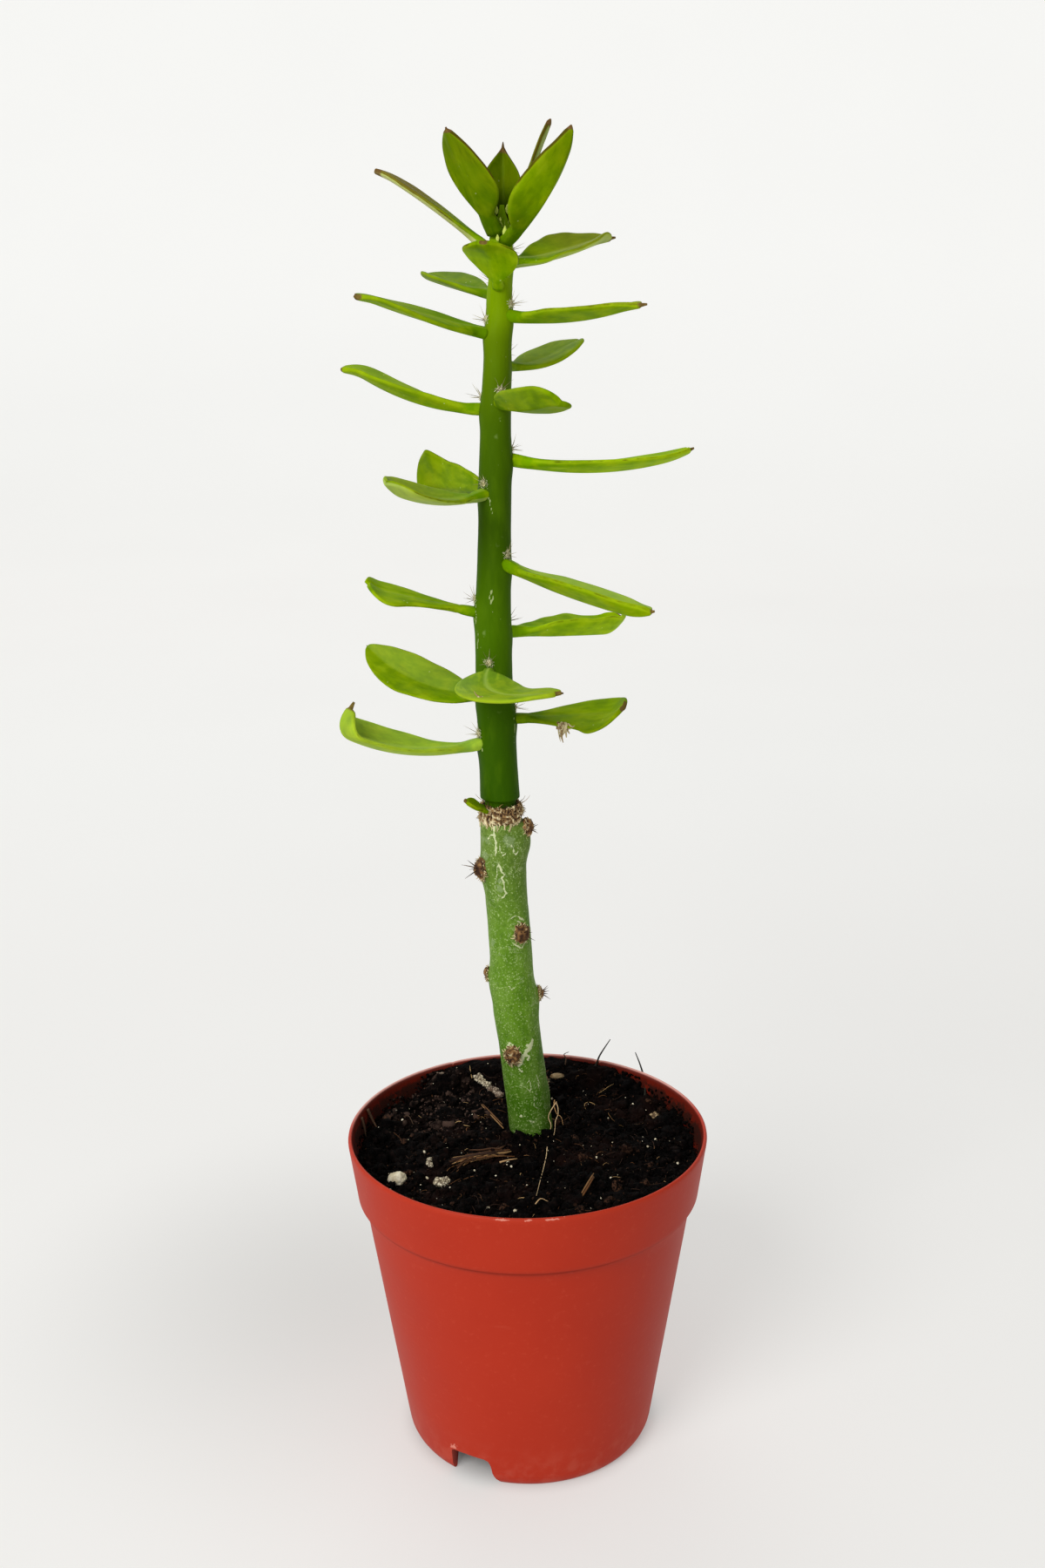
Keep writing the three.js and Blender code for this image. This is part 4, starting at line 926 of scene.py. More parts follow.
class Skin:
    """A grid of heights and angles over a stem of about this radius, with the masks and relief on it."""

    def __init__(self, foot, top, rows, sides, radius):
        self.heights = np.linspace(foot, top, rows)
        self.angles = np.arange(sides) * 2 * math.pi / sides
        self.tall, self.turn = np.meshgrid(self.heights, self.angles, indexing="ij")
        around = [radius * np.cos(self.turn), radius * np.sin(self.turn), self.tall]
        self.around = np.stack(around, axis=-1).reshape(-1, 3)

    def grain(self, stretch, size, octaves, seed):
        """Random relief, drawn out along the stem where stretch is under 1."""
        places = self.around * np.array([1.0, 1.0, stretch])
        return rough(places, size, octaves, seed).reshape(self.tall.shape)

    def lines(self, radius, scars, shake):
        """1 on the lines of the scars and 0 away from them. Shake makes them ragged."""
        mask = np.zeros(self.tall.shape)
        tall = self.tall + shake[0]
        turn = self.turn + shake[1] / radius
        for half_width, line in scars:
            for (z0, a0), (z1, a1) in zip(line, line[1:]):
                across = turn_from(a0, turn) * radius
                step = np.array([z1 - z0, math.radians(a1 - a0) * radius])
                share = ((tall - z0) * step[0] + across * step[1]) / max(step @ step, 1e-6)
                share = np.clip(share, 0, 1)
                gap = np.hypot(tall - z0 - share * step[0], across - share * step[1])
                mask = np.maximum(mask, 1 - smooth_step(gap, 0.0, half_width * 2.6))
        return mask

    def spots(self, radius, spots, grow):
        """1 in the middle of each round spot, falling off to 0 at grow times its size."""
        mask = np.zeros(self.tall.shape)
        for height, azimuth, size in spots:
            gap = np.hypot(self.tall - height, turn_from(azimuth, self.turn) * radius) / size
            mask = np.maximum(mask, 1 - smooth_step(gap, 0.0, grow))
        return mask

    def finish(self, name, finish, radius_at, relief, values, node):
        """The piece, with the relief added to its radius."""
        rows = []
        for i, height in enumerate(self.heights):
            x, y, _ = stem_at(height)
            radius = radius_at(height, self.angles) + relief[i]
            level = np.full(len(self.angles), float(height))
            row = [x + radius * np.cos(self.angles), y + radius * np.sin(self.angles), level]
            rows.append(np.stack(row, axis=1))
        values = {label: numbers.ravel() for label, numbers in values.items()}
        faces = loops_to_faces(len(self.heights), len(self.angles))
        piece(name, np.concatenate(rows), faces, finish, values, (node,))


def necked(radius, from_end, length):
    """The radius near an end of a stem, where a narrow neck hides in the dry bark."""
    return NECK_RADIUS + (radius - NECK_RADIUS) * smooth_step(from_end, length, length + NECK_FLARE)


def make_old_stem(finish):
    skin = Skin(OLD_STEM_FOOT, OLD_STEM_TOP, OLD_STEM_ROWS, OLD_STEM_SIDES, OLD_STEM_RADIUS)
    shake = [0.2 * skin.grain(1.0, 0.55, 3, seed) for seed in (11.0, 12.0)]
    scar = skin.lines(OLD_STEM_RADIUS, OLD_SCARS, shake)
    areoles = [entry[:3] for entry in OLD_AREOLES]
    bulge = skin.spots(OLD_STEM_RADIUS, areoles, 1.3)
    swelling = np.zeros(skin.tall.shape)
    for height, azimuth, reach, amount in TUBERCLES:
        mound = skin.spots(OLD_STEM_RADIUS, [(height, azimuth, reach)], 1.0)
        swelling = np.maximum(swelling, amount * mound)
    wrinkle = skin.grain(0.35, 1.5, 4, 1.0)
    soft = skin.grain(0.5, 5.0, 2, 2.0)
    relief = 0.05 * wrinkle + 0.1 * soft + 0.05 * scar + 0.25 * bulge + swelling
    relief *= smooth_step(OLD_STEM_TOP - skin.tall, 0.2, 1.6)

    def radius_at(height, _):
        return necked(stem_at(height)[2], OLD_STEM_TOP - height, OLD_NECK_LENGTH)

    values = {
        "tall": np.clip((skin.tall - 46.0) / 53.0, 0, 1),
        "scar": scar,
        "silver": skin.spots(OLD_STEM_RADIUS, SILVER_PATCHES, 1.0),
        "areole": skin.spots(OLD_STEM_RADIUS, areoles, 1.15),
    }
    skin.finish("old_stem_skin", finish, radius_at, relief, values, "old_stem")


def axil_spots():
    """The cushions over the leaves: height, azimuth, size."""
    spots = []
    for index, leaf in enumerate(LEAVES):
        if leaf.rise < STEEPEST_OPEN_AXIL:
            spots.append((leaf.height + AXIL_ABOVE_LEAF, leaf_azimuth(index), AXIL_SIZE))
    return spots


def make_shoot(finish):
    skin = Skin(SHOOT_FOOT, SHOOT_TOP, SHOOT_ROWS, SHOOT_SIDES, SHOOT_RADIUS)
    shake = [0.12 * skin.grain(1.0, 0.7, 3, seed) for seed in (15.0, 16.0)]
    scar = skin.lines(2.6, SHOOT_SCARS, shake)
    cushion = skin.spots(2.4, axil_spots(), 1.5)
    wrinkle = skin.grain(0.25, 1.1, 4, 5.0)
    soft = skin.grain(0.4, 4.0, 2, 6.0)
    relief = 0.03 * wrinkle + 0.07 * soft + 0.05 * scar + 0.22 * cushion
    relief *= smooth_step(skin.tall - SHOOT_FOOT, 1.0, 3.0) * smooth_step(SHOOT_TOP - skin.tall, 0.0, 4.0)

    def radius_at(height, angle):
        bud = 1 - 0.62 * float(smooth_step(height, 180.6, SHOOT_TOP))
        return necked(shoot_radius(height, angle), height - SHOOT_FOOT, SHOOT_NECK_LENGTH) * bud

    values = {
        "tall": np.clip((skin.tall - 100.0) / 84.0, 0, 1),
        "scar": scar,
        "areole": skin.spots(2.4, axil_spots(), 1.25),
    }
    skin.finish("shoot_skin", finish, radius_at, relief, values, "shoot")


# Wool and spines
def tuft(heap, root, out, size, count, length, chance, tones):
    """Short curly hairs that stand out of a cushion of this size."""
    sideways = level_side(out)
    upward = np.cross(out, sideways)
    for _ in range(count):
        turn = chance.uniform(0, 2 * math.pi)
        reach = size * math.sqrt(chance.random())
        lean = math.cos(turn) * sideways + math.sin(turn) * upward
        start = root + lean * reach - out * 0.12
        direction = out + lean * reach / size * 0.9 + 0.3 * stray(chance)
        path = bent_path(start, direction, length * chance.uniform(0.55, 1.2), 3, 1.5, chance)
        heap.thread(path, HAIR_RADIUS, 0.4, 3, chance.uniform(*tones))


def spines(heap, root, out, count, length, radius, chance):
    """Fine stiff spines that fan out of an areole, evenly on all sides."""
    sideways = level_side(out)
    upward = np.cross(out, sideways)
    for k in range(count):
        turn = math.radians(360 * (k + 0.2 + 0.6 * chance.random()) / count)
        spread = chance.uniform(0.5, 1.3)
        direction = out + spread * (math.cos(turn) * sideways + math.sin(turn) * upward)
        path = bent_path(root, direction, length * chance.uniform(0.7, 1.15), 4, 0.12, chance)
        heap.thread(path, radius, 0.12, 4, chance.uniform(0.0, 0.7))


def cushion_lump(heap, root, out, size, chance, tone=0.28):
    """The woody middle of an areole, as a lumpy mound. Its size is its width, height and depth."""
    wide, tall, deep = size
    points, faces = lump_shape(3)
    seed = Vector((chance.uniform(0, 50), 0, 0))
    swell = np.array([1 + 0.4 * noise.fractal(Vector(p) * 1.9 + seed, 0.8, 2.1, 4) for p in points])
    axes = np.stack([level_side(out) * wide, out * deep, UP * tall])
    mottle = np.array([noise.fractal(Vector(p) * 2.6 + seed, 0.8, 2.1, 3) for p in points])
    tones = np.clip(tone + 0.9 * mottle + 0.35 * np.maximum(0, -points[:, 2]) ** 2, 0, 1)
    heap.add(root + (points * swell[:, None]) @ axes, faces, tones.tolist())


def torn_skin(heap, root, out, size, count, chance):
    """Small cream flakes of torn skin that lie flat round an areole."""
    sideways = level_side(out)
    for k in range(count):
        turn = 2 * math.pi * (k + chance.uniform(-0.5, 0.5)) / count
        lean = math.cos(turn) * sideways * 0.9 + math.sin(turn) * UP
        start = root + lean * size * chance.uniform(0.55, 0.85) + out * 0.05
        heading = lean + out * chance.uniform(-0.3, 0.15) + sideways * chance.gauss(0, 0.5)
        path = bent_path(start, heading, chance.uniform(0.3, 0.8), 4, 0.9, chance)
        heap.thread(path, chance.uniform(0.05, 0.13), 0.3, 4, chance.uniform(0.75, 1.0))


def make_old_areoles(wool_finish, spine_finish, chance):
    """Woody cushions of the old stem, with hairs above, pale wool below, torn skin round them and spines."""
    wool = Heap()
    sharp = Heap()
    for height, azimuth, size, count, length in OLD_AREOLES:
        out = outward(azimuth)
        swelling = max(rise * max(0.0, 1 - abs(height - h) / reach) for h, _, reach, rise in TUBERCLES)
        root = stem_point(height, azimuth, stem_at(height)[2] + 0.15 + swelling)
        cushion_lump(wool, root, out, (size * 0.72, size * 0.88, size * 0.55), chance)
        tuft(wool, root + out * size * 0.14, out, size * 0.7, AREOLE_HAIRS, 0.55, chance, (0.0, 1.0))
        tuft(wool, root - UP * (size * 0.5), out, size * 0.6, PALE_AREOLE_HAIRS, 0.5, chance, (0.7, 1.0))
        torn_skin(wool, root, out, size, int(28 * size), chance)
        spines(sharp, root + out * 0.3, out, count, length, SPINE_RADIUS, chance)
    wool.finish("old_areole_wool", wool_finish, "old_stem_skin")
    sharp.finish("old_areole_spines", spine_finish, "old_stem_skin")


def make_axils(wool_finish, scale_finish, bristle_finish, chance):
    """White cushions over the leaves, each with a few bristles, and the scales of the growing point."""
    wool = Heap()
    sharp = Heap()
    for height, azimuth, size in axil_spots():
        out = outward(azimuth)
        root = stem_point(height, azimuth, float(shoot_radius(height, math.radians(azimuth))) + 0.05)
        cushion_lump(wool, root, out, (size * 0.55, size * 0.75, size * 0.3), chance, 0.8)
        tuft(wool, root, out, size * 0.85, AXIL_HAIRS, 0.5, chance, (0.7, 1.0))
        fan = unit(out * 0.8 + UP * 0.6)
        spines(sharp, root, fan, BRISTLE_COUNT, BRISTLE_LENGTH, BRISTLE_RADIUS, chance)
    wool.finish("axil_wool", wool_finish, "shoot_skin")
    scales = Heap()
    make_bud_scales(scales, chance)
    scales.finish("bud_scales", scale_finish, "shoot_skin")
    sharp.finish("axil_spines", bristle_finish, "shoot_skin")


def make_bud_scales(heap, chance):
    """Small pale green scales about the growing point, and a few hairs."""
    points, faces = lump_shape(2)
    for height, turn, reach, size in BUD_SCALES:
        root = stem_point(height, turn, reach)
        out = outward(turn)
        axes = np.stack([level_side(out) * size * 0.5, out * size * 0.35, UP * size])
        narrowed = points.copy()
        narrowed[:, 0] *= 1 - 0.7 * np.maximum(narrowed[:, 2], 0)
        heap.add(root + narrowed @ axes, faces, chance.uniform(0.8, 1.0))
    for _ in range(BUD_HAIRS):
        turn = chance.uniform(-150, -30)
        root = stem_point(chance.uniform(180.0, 182.5), turn, 1.4)
        path = bent_path(root, outward(turn) * 0.3 + UP, chance.uniform(0.5, 1.2), 4, 0.6, chance)
        heap.thread(path, chance.uniform(0.03, 0.06), 0.15, 4, chance.uniform(0.75, 1.0))


# Dry bark round the old cut
def ring_low(angle):
    """The height of the ring's lower edge, which is higher on the right."""
    away = turn_from(0, angle)
    return RING_LOW + 0.35 + (RING_ARCH - 0.3) * math.exp(-4 * away * away)


def ring_collar(heap):
    """A torn collar, whole at its neck and loose on its outside."""
    loops = []
    tones = []
    for j in range(RING_SIDES + 1):
        angle = 2 * math.pi * (j % RING_SIDES) / RING_SIDES
        low = ring_low(angle)
        for radius, share in RING_SECTION:
            height = low + (RING_HIGH - low) * share
            x, y, _ = stem_at(height)
            place = Vector((math.cos(angle) * radius, math.sin(angle) * radius, height))
            torn = noise.fractal(place * 1.1, 0.6, 2.2, 5)
            pit = noise.fractal(place * 2.3 + Vector((9, 0, 0)), 0.7, 2.2, 4)
            loose = float(smooth_step(radius, 2.4, 2.8))
            tall = height + 0.5 * torn * loose * (0.3 if 0.2 < share <= 0.6 else 1.0)
            wide = radius + 0.3 * pit * loose
            loops.append((x + wide * math.cos(angle), y + wide * math.sin(angle), tall))
            # Painted shade: the tone is darker in a band high on the section, where the collar is recessed
            recess_shade = math.exp(-((share - 0.75) / 0.2) ** 2)
            tones.append(min(1.0, max(0.0, 0.55 + 1.3 * pit - 0.3 * recess_shade)))
    faces = loops_to_faces(RING_SIDES + 1, len(RING_SECTION), closed=False, capped=False)
    heap.add(loops, faces, tones)


def ring_flakes(heap, chance):
    """A tangle of short flakes that lie round the collar."""
    for _ in range(RING_FLAKES):
        angle = chance.uniform(0, 2 * math.pi)
        low = ring_low(angle) - 0.1
        share = chance.random()
        height = low + (RING_HIGH + 0.1 - low) * share
        x, y, _ = stem_at(height)
        out = np.array([math.cos(angle), math.sin(angle), 0.0])
        aside = np.array([-out[1], out[0], 0.0])
        root = np.array([x, y, height]) + out * (3.22 - 0.45 * share ** 3 + chance.uniform(-0.15, 0.05))
        direction = out * chance.uniform(-0.2, 0.35) + aside * chance.choice((-1, 1))
        direction = direction + UP * chance.gauss(0.0, 0.6)
        path = bent_path(root, direction, chance.uniform(0.25, 0.85), 4, 2.2, chance)
        patch = noise.fractal(Vector(root.tolist()) * 0.9, 0.7, 2.2, 4)
        tone = 0.5 + 1.1 * patch + 0.3 * (0.5 - share) + chance.uniform(-0.25, 0.25)
        heap.thread(path, chance.uniform(0.03, 0.1), 0.25, 4, min(1.0, max(0.0, tone)))


def ring_fringe(heap, chance):
    """Short threads of bark that hang down over the skin on the near side."""
    for turn in RING_FRINGE:
        angle = math.radians(turn + chance.uniform(-4, 4))
        root = stem_point(ring_low(angle) + 0.1, math.degrees(angle), 3.28)
        heading = np.array([chance.uniform(-0.5, 0.5), 0, -1.0])
        path = [root]
        for _ in range(4):
            place = path[-1] + heading * chance.uniform(0.12, 0.4) + np.array([chance.gauss(0, 0.12), 0, 0])
            x, y, radius = stem_at(place[2])
            away = place[:2] - np.array([x, y])
            place[:2] = np.array([x, y]) + unit(away) * (radius + 0.04)
            path.append(place)
        heap.thread(path, chance.uniform(0.06, 0.11), 0.4, 5, chance.uniform(0.8, 1.0))


def make_bark_ring(finish):
    chance = random.Random(RING_SEED)
    heap = Heap()
    ring_collar(heap)
    ring_flakes(heap, chance)
    ring_fringe(heap, chance)
    for turn, length in RING_CURLS:
        root = stem_point(101.0, turn, 2.9)
        path = bent_path(root, outward(turn + 20) + UP * 0.3, length, 5, 0.5, chance)
        heap.thread(path, 0.05, 0.3, 4, 0.5)
    heap.finish("dry_bark_ring", finish, "dry_bark", ("bark_ring",))


# Leaves
def blade_outline(share, widest, taper):
    """How wide a blade is there, from 0 to 1."""
    swell = taper * widest / (1 - widest)
    top = widest ** swell * (1 - widest) ** taper
    return np.maximum(share, 0.0) ** swell * np.maximum(1 - share, 0.0) ** taper / top


def midrib_direction(leaf, azimuth, share):
    up = math.radians(leaf.rise + leaf.bend * share + leaf.curl * float(smooth_step(share, CURL_START, 1.0)))
    heading = math.radians(azimuth + leaf.sweep * share)
    return np.array([math.cos(up) * math.cos(heading), math.cos(up) * math.sin(heading), math.sin(up)])


def blade_axes(leaf, azimuth, share, first_roll):
    """The directions across a blade and out of its upper face."""
    heading = math.radians(azimuth + leaf.sweep * share)
    level = np.array([math.sin(heading), -math.cos(heading), 0.0])
    upward = np.cross(level, midrib_direction(leaf, azimuth, share))
    roll = math.radians(first_roll + leaf.twist * share)
    side = level * math.cos(roll) + upward * math.sin(roll)
    face = upward * math.cos(roll) - level * math.sin(roll)
    return side, face


def flesh_thickness(leaf):
    return FLESH_THICKNESS + FLESH_BY_LENGTH * leaf.length


def leaf_start(leaf, azimuth):
    """Where the midrib starts, a little outside the shoot's skin."""
    tilt = abs(math.sin(math.radians(leaf.rise)))
    skin = float(shoot_radius(leaf.height, math.radians(azimuth)))
    return stem_point(leaf.height, azimuth, skin + 0.4 + flesh_thickness(leaf) / 2 * tilt)


def lopsided(number, share, across):
    """How much wider one side of a blade is there."""
    wider = np.ones(len(across))
    for middle, reach, amount in LOPSIDED.get(number, ()):
        swell = abs(amount) * math.exp(-((share - middle) / reach) ** 2)
        wider = wider + swell * smooth_step(across * np.sign(amount), 0.0, 0.8)
    return wider


def lobed(number, share, across):
    """How far a lobe of a blade's end is pushed forward."""
    if number not in LOBES:
        return np.zeros(len(across))
    start, left, right = LOBES[number]
    sides = left * smooth_step(-across, 0.15, 0.75) + right * smooth_step(across, 0.15, 0.75)
    return sides * float(smooth_step(share, start - 0.14, start))


def blade_loop(leaf, number, share, place, axes, half_width):
    """One loop round the blade, over its upper face and back under it, with a rounded edge."""
    side, face = axes
    fold = math.radians(leaf.fold) * min(1.0, 0.35 + 2 * max(share, 0.0))
    flesh = max(0.0, flesh_thickness(leaf) * (1 - 0.35 * share) - 0.6)
    across = np.sin(np.linspace(-0.5, 0.5, 2 * LEAF_COLUMNS + 1) * math.pi)
    soft = np.sqrt(across ** 2 + 0.012) - math.sqrt(0.012)
    thin = min(1.0, half_width / 0.7)
    flat = min(1.0, half_width / 2)
    stalk = STALK_THICKNESS * math.exp(-(share * leaf.length / 2.4) ** 2) if leaf.length > 4 else 0.0
    body = EDGE_THICKNESS + flesh * (1 - across ** 2) + stalk * (1 - across ** 4)
    body = body / math.cos(fold) * np.sqrt(1 - across ** 10) * (0.3 + 0.7 * thin)
    wave = 0.14 * math.sin(share * 13 + number * 1.9) + 0.08 * math.sin(share * 25 + number * 4.1)
    wave = wave * WAVY_EDGES.get(number, PLAIN_WAVE)
    lift = soft * half_width * math.sin(fold) + wave * across * np.abs(across) * flat
    spread = across * half_width * math.cos(fold) * lopsided(number, share, across)
    centre = place + np.outer(spread, side) + np.outer(lift, face)
    centre = centre + np.outer(lobed(number, share, across), np.cross(face, side))
    groove = 0.1 * np.exp(-(across * half_width / 0.35) ** 2) * flat
    upper = centre + np.outer(body / 2 - groove, face)
    keel = 0.12 * np.exp(-(across * half_width / 0.5) ** 2) * flat
    lower = centre - np.outer(body / 2 + keel, face)
    loop = np.concatenate([upper, lower[-2:0:-1]])
    sides = np.concatenate([across, across[-2:0:-1]])
    below = np.concatenate([np.zeros(len(across)), np.ones(len(across) - 2)])
    return loop, sides, below


def blade_half_width(leaf, number, from_tip):
    """Half the width of the blade that far from its very tip."""
    plain = (leaf.width * LEAF_WIDENING, leaf.widest, leaf.taper)
    width, widest, taper = FINER_OUTLINES.get(number, plain)
    narrow = DRAWN_OUT.get(number, 0.0) * leaf.point
    full = leaf.length + leaf.point - narrow
    share = min(1.0, max(0.0, 1 - (from_tip - narrow) / full))
    blade = width / 2 * float(blade_outline(share, widest, taper))
    plain_stalk = STALK_HALF_WIDTH + STALK_BY_LENGTH * leaf.length
    stalk = WIDE_STALKS.get(number, (plain_stalk, LEAF_SINK))[0]
    point = 0.04 + 0.27 * from_tip ** 0.9 if narrow and from_tip < 3.5 else 0.0
    point = min(point, 0.16 * width)
    return max(blade, stalk * math.exp(-(share * leaf.length / 3.2) ** 2), point)


def turned_away(sides, side):
    """1 on the half of a blade that is turned to the back, 0 on the other half."""
    return smooth_step(sides * (1 if side[1] > 0 else -1), -0.12, 0.12)


def blade_marks(leaf, number, share, from_tip, half_width, sides, below, away):
    """What the finish reads on one loop of a blade."""
    dry_tip, dryness = LEAF_DRYNESS[number]
    margin = np.exp(-(1 - np.abs(sides)) * half_width / (0.14 + 0.1 * away))
    fresh_end = float(1 - smooth_step(share, 0.92, 1.0)) if dry_tip < 0.3 else 1.0
    line = np.exp(-(sides * half_width / 0.2) ** 2) * (1 - below)
    line = line * LIGHT_MIDRIBS.get(number, PLAIN_MIDRIB)
    under = np.ones(len(sides)) if number in PALE_ALL_OVER else below
    near = NEAR_EDGES.get(number, PLAIN_NEAR_EDGE)
    outer = 0.35 + 0.65 * float(smooth_step(share, 0.35, 0.6)) if number >= FIRST_TOP_LEAF else 1.0
    # Painted shade towards the base and the end
    shade = PAINTED_BASE_SHADE.get(number, 0.0) * (1 - smooth_step(share, 0.0, 0.5))
    shade = shade + PAINTED_END_SHADE.get(number, 0.0) * smooth_step(share, 0.5, 1.0)
    return {
        "along": share,
        "reach": share * leaf.length,
        "across": sides * half_width,
        "under": under,
        "edge": margin * fresh_end * float(smooth_step(share, 0.04, 0.2)),
        "rib": line * float(1 - smooth_step(share, 0.75, 0.95)),
        "tip": float(1 - smooth_step(from_tip, dry_tip * 0.4, dry_tip * 1.7)) if dry_tip > 0 else 0.0,
        "dry": dryness * outer * (near + (1 - near) * away),
        "away": away * PAINTED_FAR_HALF_SHADE.get(number, PLAIN_PAINTED_FAR_HALF_SHADE),
        "leaf": number,
        "bronze": BRONZE_ENDS.get(number, 0.0) * smooth_step(share, 0.1, 0.7) * (1 - under),
        "pale": PALE_UNDERSIDES.get(number, 0.0),
        "light": PAINTED_LEAF_LIGHT[number] * (1 - shade),
    }


def make_leaf(name, node, leaf, azimuth, number, finish):
    leaf = leaf._replace(curl=FINER_CURLS.get(number, leaf.curl))
    start = leaf_start(leaf, azimuth)
    first = midrib_direction(leaf, azimuth, 0.0)
    loops = []
    marks = []

    def add(share, where, from_tip, widened=1.0):
        half_width = blade_half_width(leaf, number, from_tip) * widened
        axes = blade_axes(leaf, azimuth, share, FINER_ROLLS.get(number, leaf.roll))
        loop, sides, below = blade_loop(leaf, number, share, where, axes, half_width)
        away = turned_away(sides, axes[0])
        loops.append(loop)
        marks.append(blade_marks(leaf, number, share, from_tip, half_width, sides, below, away))

    sink = WIDE_STALKS.get(number, (STALK_HALF_WIDTH, LEAF_SINK))[1]
    for share_in in (1.0, 0.5):
        add(0.0, start - first * sink * share_in, leaf.length + leaf.point, 1.0 + 0.1 * share_in)
    place = start.copy()
    reached = 0.0
    for i in range(LEAF_ROWS + 1):
        share = 1 - (1 - i / LEAF_ROWS) ** 1.35
        ahead = midrib_direction(leaf, azimuth, (share + reached) / 2)
        place = place + ahead * leaf.length * (share - reached)
        reached = share
        add(share, place, (1 - share) * leaf.length + leaf.point)
    last = midrib_direction(leaf, azimuth, 1.0)
    for step in POINT_STEPS:
        add(1.0, place + last * leaf.point * step, leaf.point * (1 - step))
    count = len(loops[0])
    values = {}
    for label in marks[0]:
        values[label] = np.concatenate([np.broadcast_to(mark[label], count) for mark in marks])
    faces = loops_to_faces(len(loops), count)
    piece(name, np.concatenate(loops), faces, finish, values, (node,))


def make_leaves(finish):
    for index, leaf in enumerate(LEAVES):
        number = index + 1
        azimuth = leaf_azimuth(index)
        make_leaf(f"leaf_blade_{number:02d}", f"leaf_{number:02d}", leaf, azimuth, number, finish)
    make_leaf("leaf_blade_basal", "leaf_basal", BASAL_LEAF, BASAL_LEAF_AZIMUTH, 0, finish)


# Pot
def make_pot(finish):
    rows = refined_profile(POT_PROFILE)
    angles = np.arange(POT_SIDES) * 2 * math.pi / POT_SIDES
    points = []
    for radius, height in rows:
        wobble = 0.05 * np.sin(2 * angles + 0.7) + 0.03 * np.sin(3 * angles + height * 0.05)
        reach = radius + wobble * min(1.0, radius / 20) * min(1.0, height / 10)
        tall = np.full(POT_SIDES, height)
        if height > LIP_START:
            for azimuth, width, depth in LIP_NICKS:
                away = turn_from(azimuth, angles) * RIM_RADIUS
                tall = tall - depth * np.exp(-(away / width * 2) ** 4) * (height - LIP_START) / LIP_DEPTH
        points.append(np.stack([reach * np.cos(angles), reach * np.sin(angles), tall], axis=1))
    points[0][:, :2] *= 0.0
    faces = loops_to_faces(len(rows), POT_SIDES, capped=False)
    made = piece("pot_wall", np.concatenate(points), faces, finish, stands_for=("pot",))
    face_outward(made.data, 0.001)
    cut_notches(made)
    label_pot(made)


def refined_profile(profile):
    """The profile with no step along it longer than PROFILE_STEP."""
    rows = [profile[0]]
    for (r0, z0), (r1, z1) in zip(profile, profile[1:]):
        steps = max(1, math.ceil(math.hypot(r1 - r0, z1 - z0) / PROFILE_STEP))
        for k in range(1, steps + 1):
            rows.append((r0 + (r1 - r0) * k / steps, z0 + (z1 - z0) * k / steps))
    return rows


def face_outward(mesh, weld=0.0):
    """Turns the faces of a closed mesh outward, with points nearer than weld made one first."""
    grid = bmesh.new()
    grid.from_mesh(mesh)
    if weld:
        bmesh.ops.remove_doubles(grid, verts=grid.verts, dist=weld * MM)
    bmesh.ops.recalc_face_normals(grid, faces=grid.faces)
    grid.to_mesh(mesh)
    grid.free()


def notch_cutter(azimuth):
    """A block the shape of a notch: square on one side and flared at the foot on the other."""
    half = NOTCH_WIDTH / 2
    outline = [
        (half + 0.1, -1.0), (half, 1.2), (half - 0.1, NOTCH_HEIGHT - 0.7), (half - 0.25, NOTCH_HEIGHT - 0.2),
        (half - 0.7, NOTCH_HEIGHT - 0.05), (0.6, NOTCH_HEIGHT + 0.05), (-half + 1.0, NOTCH_HEIGHT - 0.05),
        (-half + 0.3, NOTCH_HEIGHT - 0.35), (-half, NOTCH_HEIGHT - 1.1), (-half - 0.15, NOTCH_CORNER + 0.6),
        (-half - 0.5, NOTCH_CORNER - 0.5), (-half - 1.0, 0.2), (-half - 1.6, -1.0),
    ]
    points = []
    for reach in (NOTCH_START, NOTCH_END):
        for across, height in outline:
            points.append((across, reach, height))
    turn = Matrix.Rotation(math.radians(azimuth - 90), 3, "Z")
    points = [tuple(turn @ Vector(p)) for p in points]
    cutter = smooth_object("notch_cutter", points, loops_to_faces(2, len(outline)))
    face_outward(cutter.data)
    return cutter


def cut_notches(made):
    for k in range(NOTCH_COUNT):
        cutter = notch_cutter(FIRST_NOTCH_AZIMUTH + 360 / NOTCH_COUNT * k)
        cut = made.modifiers.new("notch", "BOOLEAN")
        cut.operation = "DIFFERENCE"
        cut.solver = "EXACT"
        cut.object = cutter
        apply_modifiers(made)
        bpy.data.objects.remove(cutter)


def apply_modifiers(made):
    bpy.context.view_layer.update()
    graph = bpy.context.evaluated_depsgraph_get()
    mesh = bpy.data.meshes.new_from_object(made.evaluated_get(graph), depsgraph=graph)
    made.modifiers.clear()
    made.data = mesh


